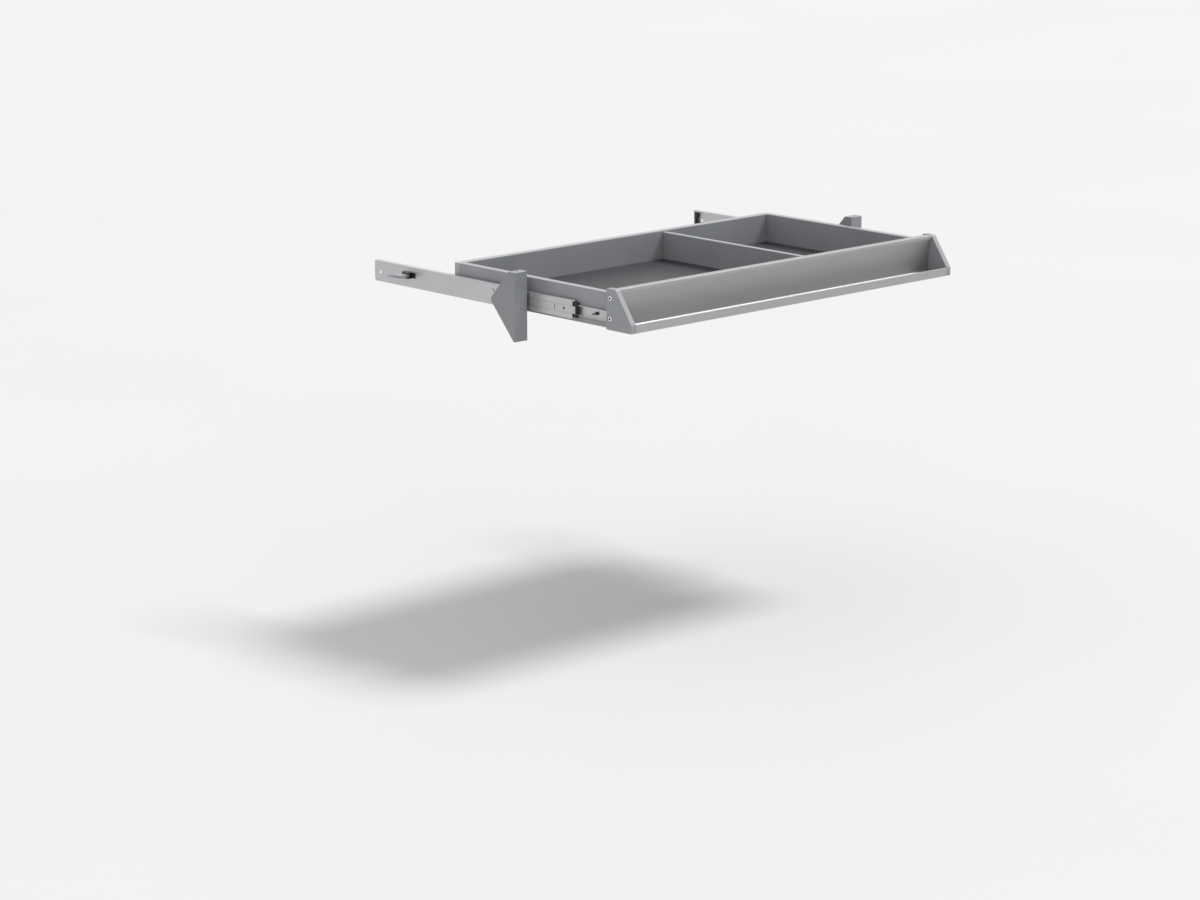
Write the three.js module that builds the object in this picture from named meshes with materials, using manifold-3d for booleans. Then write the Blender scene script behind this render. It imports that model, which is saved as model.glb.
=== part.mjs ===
// Under-desk drawer with a pen tray front, on two ball-bearing slides that hang under a desktop.
// Millimetres, +Z up, +X to the right seen from the front, +Y towards the back of the desk.
// The pieces are laid out from the lower front edge of the drawer front (Y = 0, Z = 0, X = 0 in the
// middle), with the drawer pulled out part of the way. At the end the whole assembly is shifted so that
// the origin is midway between the two hanger brackets, on the desktop's underside, at their front faces.

import * as THREE from "three";
import { mergeVertices } from "three/addons/utils/BufferGeometryUtils.js";
import Module from "manifold-3d";

const wasm = await Module();
wasm.setup();

// ---- Driving dimensions -------------------------------------------------------------------------

const GAP = 0.3; // clearance between pieces that touch
const FRONT_HALF_WIDTH = 375; // half of the drawer front, end caps included
const CAP_THICKNESS = 10;
const FRONT_DEPTH = 56.5; // front lip to the back of the drawer front
const FRONT_HEIGHT = 65.8;
const LIP_HEIGHT = 14;
const LIP_THICKNESS = 2.4;
const CAP_SLOPE_TOP_Y = 36;

const PROFILE_HEIGHT = 65;
const PROFILE_WALL = 2;
const TRAY_FLOOR_Z = 3;
const TRAY_BACK_Y = 42.5; // front face of the tray's back wall, at the floor
const TRAY_EDGE_Y = 35; // front edge of the strip on top of that wall
const TRAY_EDGE_Z = 60.5; // underside of that edge
const TRAY_BEND_Z = 8; // height where the back wall starts to curve forward
const STRIP_BACK_Y = 48.5;

const BOX_HALF_WIDTH = 367.3; // half of the drawer box, over its side walls
const WALL_THICKNESS = 13;
const SHEET = 1;
const WALL_TOP_Z = 57.5;
const WALL_BOTTOM_Z = 1;
const WALL_FRONT_Y = FRONT_DEPTH + GAP;
const BACK_WALL_Y = 415.6;
const FLOOR_TOP_Z = 8;
const FLOOR_THICKNESS = 3.2;
const PLUG_LENGTH = 15; // how far a rear corner reaches into each wall
const PLUG_BOTTOM_Z = 4;
const CONNECTOR_LENGTH = 30;
const CONNECTOR_BOTTOM_Z = 12;
const PLUG_TOP_Z = 55.7; // just under the walls' folded tops
const LEDGE_WIDTH = 10.3; // shelf along each side wall that carries the floor
const DIVIDER_X = 102; // middle of the divider
const DIVIDER_THICKNESS = 10;
const DIVIDER_TOP_Z = 55;

const CAP_SCREW_Y = 48.9;
const CAP_SCREW_HEIGHTS = [17.4, 50.3];
const CAP_SCREW_HEAD_RADIUS = 4.2;
const CAP_SCREW_HEAD_HEIGHT = 2.2;
const CAP_SCREW_SEAT_DEPTH = 2.6;
const CAP_SCREW_SOCKET_RADIUS = 2.1;
const CAP_SCREW_RADIUS = 2;
const CAP_SCREW_LENGTH = 22;
const HEAD_SIDES = 20;
const SOCKET_DEPTH_SHARE = 0.6; // of the head's height

const SLIDE_AXIS_Z = 20.8; // middle height of the slides
const OUTER_RAIL_FRONT_Y = 268;
const OUTER_RAIL_BACK_Y = 618;
const DRAWER_OUT = 211; // how far the drawer is pulled out as modelled
const MIDDLE_OUT = 136; // how far the middle rails are pulled out as modelled
const STOP_LENGTH = 7; // rear stop inside the outer rail
const RAIL_SCREW_PLACES = [180, 360];
const RAIL_SCREW_RADIUS = 1.6;
const RAIL_SCREW_LENGTH = 6;
const RAIL_SCREW_HEAD = { radius: 3.2, height: 2, socket: 1.3 };
const RAIL_HOLES = [
  { y: 316, z: 28 },
  { y: 603, z: 20 },
];
const RAIL_HOLE_RADIUS = 2.4;
const OUTER_RAIL_WEB = { inner: 11.5, outer: 12.7 }; // distances from the drawer's side wall
const TONGUE_LENGTH = 6; // the middle rail's web runs this far past its flanges, outside the end cap
const TAB_PIVOT = { y: 83.4, rise: 0.2 }; // rise is over the slide's middle height
const TAB_RIVET_RADIUS = 1.2;
// A ball cage's strip, whose rear part carries the balls. Setback is the place of its front end behind the
// rail's front end when the slide is closed.
const OUTER_CAGE = { length: 160, ballLength: 160, setback: 94.5 };
const INNER_CAGE = { length: 209.2, ballLength: 150, setback: 42.8 };
const CAGE_NOSE_LENGTH = 13;
const OUTER_BALL_RADIUS = 1.3;
const INNER_BALL_RADIUS = 1.6;
const BALLS_PER_ROW = 5;
const BALL_MERIDIANS = 6;
const BALL_PARALLELS = 4;

const BRACKET_OUTER_X = 407;
const BRACKET_INNER_X = 380.3;
const BRACKET_SHEET = 2;
const BRACKET_FRONT_Y = 235;
const DESK_UNDERSIDE_Z = 70;
const BRACKET_TOP_DEPTH = 16;
const DESK_HOLE_RADIUS = 2.6;
const DESK_HOLE_SETBACK = 9; // from the bracket's front face
const BRACKET_NOSE = { y: 295.5, z: 20 };
const BRACKET_FOOT_DEPTH = 4;
const BRACKET_BOTTOM_Z = -43;
const BRACKET_SCREWS = [
  { y: 277, z: 12 },
  { y: 277, z: 29 },
];
const BRACKET_SCREW_RADIUS = 2;
const BRACKET_SCREW_HEAD = { radius: 3.8, height: 2.2, socket: 1.5 };

const LEVER_WINDOW = { front: 512, back: 545, bottom: 19, top: 29.5 };
const LEVER_PIVOT = { x: 385.4, y: 529.5 };
const LEVER_PIN_RADIUS = 1.25;
const RUNNING_CLEARANCE = 0.1;
const HOUSING_EAR = 2; // thickness of the lever housing above and below the lever
const HOUSING_HALF_LENGTH = 8.5;
const HOUSING_WALL = 1.6;
const HOUSING_PLATE = 0.8; // thickness of the plate that closes the rest of the window
const LEVER_REACH = 21.3; // from the pivot to the lever's outer edge
const LEVER_TAB_THICKNESS = 2.4;

// ---- Materials ----------------------------------------------------------------------------------

const finish = (color, roughness, metalness) => ({ color, roughness, metalness });
const FINISHES = {
  anodisedAluminium: finish(0xa9adaa, 0.38, 0.9),
  greyPlastic: finish(0x949699, 0.5, 0),
  lightPlastic: finish(0xa9abae, 0.5, 0),
  greySteel: finish(0x8f9195, 0.45, 0.1),
  darkBoard: finish(0x3f4043, 0.75, 0),
  bracketSteel: finish(0x87898c, 0.45, 0.1),
  zincSteel: finish(0xc4c5c6, 0.32, 0.9),
  ballSteel: finish(0xb8babc, 0.2, 1),
  blackPlastic: finish(0x151516, 0.45, 0),
  screwSteel: finish(0xcfd0d1, 0.3, 0.9),
};

// ---- Geometry helpers ---------------------------------------------------------------------------

function solid(geometry) {
  const closed = geometry.clone();
  closed.deleteAttribute("normal");
  closed.deleteAttribute("uv");
  const merged = mergeVertices(closed, 1e-4);
  return new wasm.Manifold(
    new wasm.Mesh({
      numProp: 3,
      vertProperties: merged.attributes.position.array,
      triVerts: new Uint32Array(merged.index.array),
    }),
  );
}

function toGeometry(manifold) {
  const mesh = manifold.getMesh();
  const geometry = new THREE.BufferGeometry();
  geometry.setAttribute("position", new THREE.BufferAttribute(mesh.vertProperties, 3));
  geometry.setIndex(new THREE.BufferAttribute(mesh.triVerts, 1));
  geometry.computeVertexNormals();
  return geometry;
}

function block(x0, x1, y0, y1, z0, z1) {
  const geometry = new THREE.BoxGeometry(x1 - x0, y1 - y0, z1 - z0);
  geometry.translate((x0 + x1) / 2, (y0 + y1) / 2, (z0 + z1) / 2);
  return solid(geometry);
}

function rodX(x0, x1, y, z, radius, sides = 16) {
  const geometry = new THREE.CylinderGeometry(radius, radius, x1 - x0, sides);
  geometry.rotateZ(Math.PI / 2);
  geometry.translate((x0 + x1) / 2, y, z);
  return solid(geometry);
}

function rodZ(x, y, z0, z1, radius, sides = 16) {
  const geometry = new THREE.CylinderGeometry(radius, radius, z1 - z0, sides);
  geometry.rotateX(Math.PI / 2);
  geometry.translate(x, y, (z0 + z1) / 2);
  return solid(geometry);
}

// A closed outline whose corners [a, b, radius] are rounded where they have a radius.
function roundedShape(outline) {
  const clockwise = THREE.ShapeUtils.isClockWise(outline.map(([a, b]) => new THREE.Vector2(a, b)));
  const corners = clockwise ? [...outline].reverse() : outline;
  const shape = new THREE.Shape();
  const point = (i) => corners[(i + corners.length) % corners.length];
  const towards = (from, to, distance) => {
    const length = Math.hypot(to[0] - from[0], to[1] - from[1]);
    const share = distance / length;
    return [from[0] + (to[0] - from[0]) * share, from[1] + (to[1] - from[1]) * share];
  };
  corners.forEach((corner, i) => {
    const radius = corner[2] || 0;
    const start = radius ? towards(corner, point(i - 1), radius) : corner;
    const end = radius ? towards(corner, point(i + 1), radius) : corner;
    if (i === 0) shape.moveTo(start[0], start[1]);
    else shape.lineTo(start[0], start[1]);
    if (radius) shape.quadraticCurveTo(corner[0], corner[1], end[0], end[1]);
  });
  shape.closePath();
  return shape;
}

// A section drawn in X and Z, run along Y.
function alongY(shape, y0, y1, curveSegments = 3) {
  const geometry = new THREE.ExtrudeGeometry(shape, { depth: y1 - y0, bevelEnabled: false, curveSegments });
  geometry.rotateX(Math.PI / 2);
  geometry.translate(0, y1, 0);
  return solid(geometry);
}

// A side view drawn in Y and Z, run along X.
const SIDE_VIEW_TO_X = new THREE.Matrix4().set(0, 0, 1, 0, 1, 0, 0, 0, 0, 1, 0, 0, 0, 0, 0, 1);

function alongX(shape, x0, x1, curveSegments = 3) {
  const geometry = new THREE.ExtrudeGeometry(shape, { depth: x1 - x0, bevelEnabled: false, curveSegments });
  geometry.applyMatrix4(SIDE_VIEW_TO_X);
  geometry.translate(x0, 0, 0);
  return solid(geometry);
}

// A plan drawn in X and Y, run along Z.
function alongZ(shape, z0, z1, curveSegments = 3) {
  const geometry = new THREE.ExtrudeGeometry(shape, { depth: z1 - z0, bevelEnabled: false, curveSegments });
  geometry.translate(0, 0, z0);
  return solid(geometry);
}

// A slide section that is the same above and below its middle. u is measured outwards from the drawer's
// side wall, w upwards from the slide's middle height. The half outline runs from the web's first face
// round the upper flange to the web's second face.
function slideSection(upperHalf) {
  const lowerHalf = upperHalf.map(([u, w, radius]) => [u, -w, radius]).reverse();
  const corners = [...upperHalf, ...lowerHalf];
  return roundedShape(corners.map(([u, w, radius]) => [slideX(u), slideZ(w), radius]));
}

const slideX = (u) => BOX_HALF_WIDTH + u;
const slideZ = (w) => SLIDE_AXIS_Z + w;
const joined = (solids) => solids.reduce((whole, piece) => whole.add(piece));
const without = (whole, cuts) => cuts.reduce((rest, cut) => rest.subtract(cut), whole);

function piece(name, manifold, look) {
  const mesh = new THREE.Mesh(toGeometry(manifold), new THREE.MeshStandardMaterial(look));
  mesh.name = name;
  return mesh;
}

// ---- Drawer front -------------------------------------------------------------------------------

// Radius of the arc that carries the tray's back wall forward to the strip on its top.
const trayRise = TRAY_EDGE_Z - TRAY_BEND_Z;
const trayLean = TRAY_BACK_Y - TRAY_EDGE_Y;
const TRAY_BACK_RADIUS = (trayRise ** 2 + trayLean ** 2) / (2 * trayLean);

function trayBackY(z) {
  const above = Math.max(0, z - TRAY_BEND_Z);
  return TRAY_BACK_Y - TRAY_BACK_RADIUS + Math.sqrt(TRAY_BACK_RADIUS ** 2 - above ** 2);
}

function trayBackCurve(z0, z1, offset, steps) {
  const points = [];
  for (let i = 0; i <= steps; i += 1) {
    const z = z0 + ((z1 - z0) * i) / steps;
    points.push([trayBackY(z) + offset, z]);
  }
  return points;
}

function chamber(z0, z1) {
  const back = FRONT_DEPTH - PROFILE_WALL;
  const topBack = Math.min(back, STRIP_BACK_Y + PROFILE_HEIGHT - PROFILE_WALL - 1 - z1);
  const corners = [[back, z0], ...trayBackCurve(z0, z1, PROFILE_WALL, 4), [topBack, z1]];
  if (topBack < back) corners.push([back, z1 - (back - topBack)]);
  return new THREE.Path(corners.map(([y, z]) => new THREE.Vector2(y, z)));
}

function frontProfile() {
  const section = roundedShape([
    [0, 0, 0.6],
    [0, LIP_HEIGHT, 0.6],
    [LIP_THICKNESS, LIP_HEIGHT, 0.6],
    [LIP_THICKNESS, TRAY_FLOOR_Z, 2],
    [TRAY_BACK_Y, TRAY_FLOOR_Z, 3.5],
    ...trayBackCurve(TRAY_BEND_Z, TRAY_EDGE_Z, 0, 7),
    [TRAY_EDGE_Y, PROFILE_HEIGHT, 0.6],
    [STRIP_BACK_Y, PROFILE_HEIGHT, 1],
    [FRONT_DEPTH, PROFILE_HEIGHT - (FRONT_DEPTH - STRIP_BACK_Y), 1],
    [FRONT_DEPTH, 0, 1],
  ]);
  const portHalf = CAP_SCREW_HEAD_RADIUS;
  const [lowPort, highPort] = CAP_SCREW_HEIGHTS;
  section.holes = [
    chamber(TRAY_FLOOR_Z, lowPort - portHalf),
    chamber(lowPort + portHalf, highPort - portHalf),
    chamber(highPort + portHalf, PROFILE_HEIGHT - PROFILE_WALL),
  ];
  const half = FRONT_HALF_WIDTH - CAP_THICKNESS - GAP;
  const ports = CAP_SCREW_HEIGHTS.map((z) =>
    rodX(-half - 1, half + 1, CAP_SCREW_Y, z, CAP_SCREW_RADIUS + GAP),
  );
  return without(alongX(section, -half, half), ports);
}

function endCap() {
  const outline = roundedShape([
    [0, 0, 1],
    [0, LIP_HEIGHT, 1],
    [CAP_SLOPE_TOP_Y, FRONT_HEIGHT, 3],
    [FRONT_DEPTH, FRONT_HEIGHT, 3],
    [FRONT_DEPTH, 0, 1],
  ]);
  const outer = FRONT_HALF_WIDTH;
  const inner = outer - CAP_THICKNESS;
  const seat = outer - CAP_SCREW_SEAT_DEPTH;
  const holes = CAP_SCREW_HEIGHTS.flatMap((z) => [
    rodX(inner - 1, outer + 1, CAP_SCREW_Y, z, CAP_SCREW_RADIUS + GAP),
    rodX(seat, outer + 1, CAP_SCREW_Y, z, CAP_SCREW_HEAD_RADIUS + GAP, HEAD_SIDES),
  ]);
  return without(alongX(outline, inner, outer), holes);
}

// A screw along X whose head's outer face is at headX. The head has a radius, a height and a hexagon socket.
function screwX(headX, y, z, head, radius, length) {
  const neck = headX - head.height;
  const cap = rodX(neck, headX, y, z, head.radius, HEAD_SIDES);
  const shank = rodX(neck - length, neck + head.height / 4, y, z, radius);
  const socket = rodX(headX - head.height * SOCKET_DEPTH_SHARE, headX + 1, y, z, head.socket, 6);
  return cap.add(shank).subtract(socket);
}

function capScrew(z) {
  const head = {
    radius: CAP_SCREW_HEAD_RADIUS,
    height: CAP_SCREW_HEAD_HEIGHT,
    socket: CAP_SCREW_SOCKET_RADIUS,
  };
  const headX = FRONT_HALF_WIDTH - CAP_SCREW_SEAT_DEPTH + GAP + head.height;
  return screwX(headX, CAP_SCREW_Y, z, head, CAP_SCREW_RADIUS, CAP_SCREW_LENGTH);
}

// ---- Drawer box ---------------------------------------------------------------------------------

function sideWall() {
  const outer = BOX_HALF_WIDTH;
  const inner = outer - WALL_THICKNESS;
  const ledgeTop = FLOOR_TOP_Z - FLOOR_THICKNESS - GAP;
  const section = roundedShape([
    [outer, WALL_BOTTOM_Z],
    [outer, WALL_TOP_Z, 1.5],
    [inner, WALL_TOP_Z, 1.5],
    [inner, ledgeTop],
    [inner - LEDGE_WIDTH, ledgeTop],
    [inner - LEDGE_WIDTH, ledgeTop - SHEET],
    [inner + SHEET, ledgeTop - SHEET],
    [inner + SHEET, WALL_TOP_Z - SHEET, 0.8],
    [outer - SHEET, WALL_TOP_Z - SHEET, 0.8],
    [outer - SHEET, WALL_BOTTOM_Z],
  ]);
  const screwHoles = RAIL_SCREW_PLACES.map((y) =>
    rodX(outer - 2 * SHEET, outer + 1, y, SLIDE_AXIS_Z, RAIL_SCREW_RADIUS + GAP),
  );
  return without(alongY(section, WALL_FRONT_Y, BACK_WALL_Y - GAP), screwHoles);
}

function backWall() {
  const y1 = BACK_WALL_Y + WALL_THICKNESS;
  const bottom = WALL_BOTTOM_Z;
  const section = roundedShape([
    [BACK_WALL_Y, bottom],
    [BACK_WALL_Y, WALL_TOP_Z, 1.5],
    [y1, WALL_TOP_Z, 1.5],
    [y1, bottom],
    [y1 - SHEET, bottom],
    [y1 - SHEET, WALL_TOP_Z - SHEET, 0.8],
    [BACK_WALL_Y + SHEET, WALL_TOP_Z - SHEET, 0.8],
    [BACK_WALL_Y + SHEET, bottom],
  ]);
  const half = BOX_HALF_WIDTH - WALL_THICKNESS;
  return alongX(section, -half, half);
}

// Moulded corner that plugs into the side wall and the back wall.
function rearCorner() {
  const outer = BOX_HALF_WIDTH;
  const inner = outer - WALL_THICKNESS + GAP;
  const back = BACK_WALL_Y + WALL_THICKNESS;
  const plug = SHEET + GAP;
  const body = alongZ(
    roundedShape([
      [inner, BACK_WALL_Y],
      [outer, BACK_WALL_Y],
      [outer, back, 3],
      [inner, back],
    ]),
    WALL_BOTTOM_Z,
    WALL_TOP_Z,
  );
  const sidePlug = block(
    inner - GAP + plug,
    outer - plug,
    BACK_WALL_Y - PLUG_LENGTH,
    BACK_WALL_Y + 1,
    PLUG_BOTTOM_Z,
    PLUG_TOP_Z,
  );
  const backPlug = block(
    inner - PLUG_LENGTH,
    inner + 1,
    BACK_WALL_Y + plug,
    back - plug,
    PLUG_BOTTOM_Z,
    PLUG_TOP_Z,
  );
  return joined([body, sidePlug, backPlug]);
}

// Moulded plug inside the front end of the side wall, which joins it to the drawer front.
function frontConnector() {
  const plug = SHEET + GAP;
  const inner = BOX_HALF_WIDTH - WALL_THICKNESS + plug;
  return block(
    inner,
    BOX_HALF_WIDTH - plug,
    WALL_FRONT_Y,
    WALL_FRONT_Y + CONNECTOR_LENGTH,
    CONNECTOR_BOTTOM_Z,
    PLUG_TOP_Z,
  );
}

function drawerFloor() {
  const half = BOX_HALF_WIDTH - WALL_THICKNESS - GAP;
  return block(-half, half, WALL_FRONT_Y, BACK_WALL_Y - GAP, FLOOR_TOP_Z - FLOOR_THICKNESS, FLOOR_TOP_Z);
}

function divider() {
  const x0 = DIVIDER_X - DIVIDER_THICKNESS / 2;
  const x1 = DIVIDER_X + DIVIDER_THICKNESS / 2;
  const foot = FLOOR_TOP_Z + GAP;
  const section = roundedShape([
    [x0, foot],
    [x0, DIVIDER_TOP_Z, 1.2],
    [x1, DIVIDER_TOP_Z, 1.2],
    [x1, foot],
    [x1 - SHEET, foot],
    [x1 - SHEET, DIVIDER_TOP_Z - SHEET],
    [x0 + SHEET, DIVIDER_TOP_Z - SHEET],
    [x0 + SHEET, foot],
  ]);
  return alongY(section, WALL_FRONT_Y, BACK_WALL_Y - GAP);
}

// ---- Slides -------------------------------------------------------------------------------------

const DRAWER_RAIL_BACK_Y = OUTER_RAIL_BACK_Y - DRAWER_OUT - STOP_LENGTH - 1;
const MIDDLE_RAIL_FRONT_Y = OUTER_RAIL_FRONT_Y - MIDDLE_OUT;
const MIDDLE_RAIL_BACK_Y = OUTER_RAIL_BACK_Y - MIDDLE_OUT - STOP_LENGTH - 1;

function drawerRail() {
  const section = slideSection([
    [1.3, 7.25],
    [6.2, 7.25],
    [6.2, 8.25],
    [0.3, 8.25, 0.8],
  ]);
  const rail = alongY(section, WALL_FRONT_Y, DRAWER_RAIL_BACK_Y);
  const holes = RAIL_SCREW_PLACES.map((y) =>
    rodX(slideX(0), slideX(2), y, SLIDE_AXIS_Z, RAIL_SCREW_RADIUS + GAP),
  );
  return without(rail, holes);
}

function railScrew(y) {
  return screwX(slideX(3.6), y, SLIDE_AXIS_Z, RAIL_SCREW_HEAD, RAIL_SCREW_RADIUS, RAIL_SCREW_LENGTH);
}

// Small latch on the drawer rail that frees the drawer from the middle rail.
function disconnectTab() {
  const z = SLIDE_AXIS_Z;
  const y = TAB_PIVOT.y;
  const outline = roundedShape([
    [y + 11, z - 3.6, 0.6],
    [y + 11, z - 1.9, 0.6],
    [y + 3.2, z + 0.4, 0.8],
    [y + 2.6, z + 2.7, 1.2],
    [y - 3.4, z + 2.7, 2],
    [y - 3.4, z - 2.3, 2],
    [y + 2.6, z - 2.3, 1],
  ]);
  const hole = rodX(slideX(1), slideX(5), y, z + TAB_PIVOT.rise, TAB_RIVET_RADIUS + RUNNING_CLEARANCE, 12);
  return alongX(outline, slideX(1.6), slideX(3.2)).subtract(hole);
}

function tabRivet() {
  const z = SLIDE_AXIS_Z + TAB_PIVOT.rise;
  const shank = rodX(slideX(1.6), slideX(3.8), TAB_PIVOT.y, z, TAB_RIVET_RADIUS, 12);
  const head = rodX(slideX(3.5), slideX(4.2), TAB_PIVOT.y, z, 2.2, 12);
  return shank.add(head);
}

function middleRail() {
  const section = slideSection([
    [9.9, 5.5],
    [9.5, 5.7],
    [9.5, 6.1],
    [10.2, 6.3],
    [10.2, 14.7, 1],
    [9, 14.7],
    [8.6, 13.1],
    [5.8, 13.1],
    [5.2, 14.7],
    [1.4, 14.7, 0.6],
    [1.4, 11.2],
    [2.4, 11.2],
    [2.4, 13.7],
    [4.6, 13.7],
    [5, 12.1],
    [9.2, 12.1],
    [9.2, 6.5],
    [8.7, 6.1],
  ]);
  const front = MIDDLE_RAIL_FRONT_Y - TONGUE_LENGTH;
  const rail = alongY(section, front, MIDDLE_RAIL_BACK_Y);
  const trim = [-1, 1].map((up) => {
    const edges = [slideZ(up * 6), slideZ(up * 20)].sort((a, b) => a - b);
    return block(slideX(0), slideX(12), front - 1, MIDDLE_RAIL_FRONT_Y, edges[0], edges[1]);
  });
  const lips = block(slideX(0), slideX(8), front - 1, MIDDLE_RAIL_FRONT_Y, slideZ(-20), slideZ(20));
  const z = SLIDE_AXIS_Z;
  const holes = [
    rodX(slideX(7), slideX(12), MIDDLE_RAIL_FRONT_Y - 3, z, 1.1, 10),
    rodX(slideX(7), slideX(12), MIDDLE_RAIL_FRONT_Y + 20, z, 2.4, 14),
    block(slideX(7), slideX(12), MIDDLE_RAIL_FRONT_Y + 41.5, MIDDLE_RAIL_FRONT_Y + 42.9, z - 4, z + 4),
  ];
  return without(rail, [...trim, lips, ...holes]);
}

// Moulded front end of the inner ball cage, round the drawer rail.
function cageNose() {
  const section = slideSection([
    [8.4, 5],
    [8.4, 11.8],
    [2.7, 11.8],
    [2.7, 8.6],
    [6.7, 8.6],
  ]);
  const back = innerCageFrontY() - GAP;
  return alongY(section, back - CAGE_NOSE_LENGTH, back);
}

// Both cages travel half as far as the rails that they carry.
const outerCageFrontY = () => OUTER_RAIL_FRONT_Y + OUTER_CAGE.setback - MIDDLE_OUT / 2;
const innerCageFrontY = () => OUTER_RAIL_FRONT_Y + INNER_CAGE.setback - (MIDDLE_OUT + DRAWER_OUT) / 2;

// A ball cage: a strip with an arm over each flange, and the rows of balls that it carries.
function ballCage(strip, arm, ball, y0, { length, ballLength }) {
  const web = block(slideX(strip.u0), slideX(strip.u1), y0, y0 + length, slideZ(-arm.w1), slideZ(arm.w1));
  const pieces = [web];
  for (const up of [-1, 1]) {
    const heights = [slideZ(up * arm.w0), slideZ(up * arm.w1)].sort((a, b) => a - b);
    pieces.push(block(slideX(arm.u0), slideX(strip.u1), y0, y0 + length, heights[0], heights[1]));
    for (let i = 0; i < BALLS_PER_ROW; i += 1) {
      const sphere = new THREE.SphereGeometry(ball.radius, BALL_MERIDIANS, BALL_PARALLELS);
      const y = y0 + length - ballLength + (ballLength * (i + 0.5)) / BALLS_PER_ROW;
      sphere.translate(slideX(ball.u), y, slideZ(up * ball.w));
      pieces.push(solid(sphere));
    }
  }
  return joined(pieces);
}

function outerCage() {
  const strip = { u0: 10.5, u1: 11.2 };
  const arm = { u0: 6.4, w0: 15.1, w1: 15.9 };
  const ball = { u: 7.2, w: 14.7, radius: OUTER_BALL_RADIUS };
  return ballCage(strip, arm, ball, outerCageFrontY(), OUTER_CAGE);
}

function innerCage() {
  const strip = { u0: 6.8, u1: 7.5 };
  const arm = { u0: 3.6, w0: 9.8, w1: 10.5 };
  const ball = { u: 4.6, w: 10.15, radius: INNER_BALL_RADIUS };
  return ballCage(strip, arm, ball, innerCageFrontY(), INNER_CAGE);
}

function outerRail() {
  const section = slideSection([
    [OUTER_RAIL_WEB.outer, 17.5, 1.2],
    [4.2, 17.5, 0.8],
    [4.2, 15],
    [5.4, 15],
    [5.4, 16.3],
    [OUTER_RAIL_WEB.inner, 16.3],
  ]);
  const bottom = slideZ(-18);
  const top = slideZ(18);
  const sideView = roundedShape([
    [OUTER_RAIL_FRONT_Y, bottom],
    [OUTER_RAIL_BACK_Y, bottom, 7],
    [OUTER_RAIL_BACK_Y, top, 2.5],
    [OUTER_RAIL_FRONT_Y, top],
  ]);
  const trimmed = alongY(section, OUTER_RAIL_FRONT_Y, OUTER_RAIL_BACK_Y).intersect(
    alongX(sideView, slideX(0), slideX(14), 5),
  );
  const web = [slideX(OUTER_RAIL_WEB.inner - 1), slideX(OUTER_RAIL_WEB.outer + 1)];
  const leverWindow = roundedShape([
    [LEVER_WINDOW.front, LEVER_WINDOW.bottom, 2],
    [LEVER_WINDOW.back, LEVER_WINDOW.bottom, 2],
    [LEVER_WINDOW.back, LEVER_WINDOW.top, 2],
    [LEVER_WINDOW.front, LEVER_WINDOW.top, 2],
  ]);
  return without(trimmed, [
    alongX(leverWindow, web[0], web[1]),
    ...RAIL_HOLES.map(({ y, z }) => rodX(web[0], web[1], y, z, RAIL_HOLE_RADIUS)),
    ...BRACKET_SCREWS.map(({ y, z }) => rodX(web[0], web[1], y, z, BRACKET_SCREW_RADIUS + GAP)),
  ]);
}

function rearStop() {
  const y1 = OUTER_RAIL_BACK_Y - 0.5;
  const outline = roundedShape([
    [y1 - STOP_LENGTH, slideZ(-14.6)],
    [y1, slideZ(-14.6), 4],
    [y1, slideZ(14.6), 1.5],
    [y1 - STOP_LENGTH, slideZ(14.6)],
  ]);
  return alongX(outline, slideX(5.8), slideX(OUTER_RAIL_WEB.inner - GAP));
}

// ---- Hanger bracket -----------------------------------------------------------------------------

function hangerBracket() {
  const outline = () =>
    roundedShape([
      [BRACKET_FRONT_Y, DESK_UNDERSIDE_Z],
      [BRACKET_FRONT_Y, BRACKET_BOTTOM_Z],
      [BRACKET_FRONT_Y + BRACKET_FOOT_DEPTH, BRACKET_BOTTOM_Z],
      [BRACKET_NOSE.y, BRACKET_NOSE.z, 5],
      [BRACKET_FRONT_Y + BRACKET_TOP_DEPTH, DESK_UNDERSIDE_Z],
    ]);
  const x0 = BRACKET_INNER_X;
  const x1 = BRACKET_OUTER_X;
  const y0 = BRACKET_FRONT_Y;
  const outerFlange = alongX(outline(), x1 - BRACKET_SHEET, x1);
  const innerFlange = alongX(outline(), x0, x0 + BRACKET_SHEET);
  const front = block(x0, x1, y0, y0 + BRACKET_SHEET, BRACKET_BOTTOM_Z, DESK_UNDERSIDE_Z);
  const top = block(
    x0,
    x1,
    y0,
    y0 + BRACKET_TOP_DEPTH,
    DESK_UNDERSIDE_Z - BRACKET_SHEET,
    DESK_UNDERSIDE_Z,
  );
  const middleX = (x0 + x1) / 2;
  const deskHole = rodZ(
    middleX,
    y0 + DESK_HOLE_SETBACK,
    DESK_UNDERSIDE_Z - 2 * BRACKET_SHEET,
    DESK_UNDERSIDE_Z + 1,
    DESK_HOLE_RADIUS,
  );
  const railHoles = BRACKET_SCREWS.map(({ y, z }) =>
    rodX(x0 - 1, x0 + BRACKET_SHEET + 1, y, z, BRACKET_SCREW_RADIUS + GAP),
  );
  return without(joined([outerFlange, innerFlange, front, top]), [deskHole, ...railHoles]);
}

function bracketScrew({ y, z }) {
  const underHead = BRACKET_INNER_X + BRACKET_SHEET + GAP;
  const headX = underHead + BRACKET_SCREW_HEAD.height;
  const length = underHead - slideX(OUTER_RAIL_WEB.inner + GAP);
  return screwX(headX, y, z, BRACKET_SCREW_HEAD, BRACKET_SCREW_RADIUS, length);
}

// ---- Release lever ------------------------------------------------------------------------------

const HOUSING = {
  front: LEVER_PIVOT.y - HOUSING_HALF_LENGTH,
  back: LEVER_PIVOT.y + HOUSING_HALF_LENGTH,
  bottom: LEVER_WINDOW.bottom + GAP,
  top: LEVER_WINDOW.top - GAP,
  inner: BOX_HALF_WIDTH + OUTER_RAIL_WEB.inner,
  outer: LEVER_PIVOT.x + 4,
};

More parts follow.
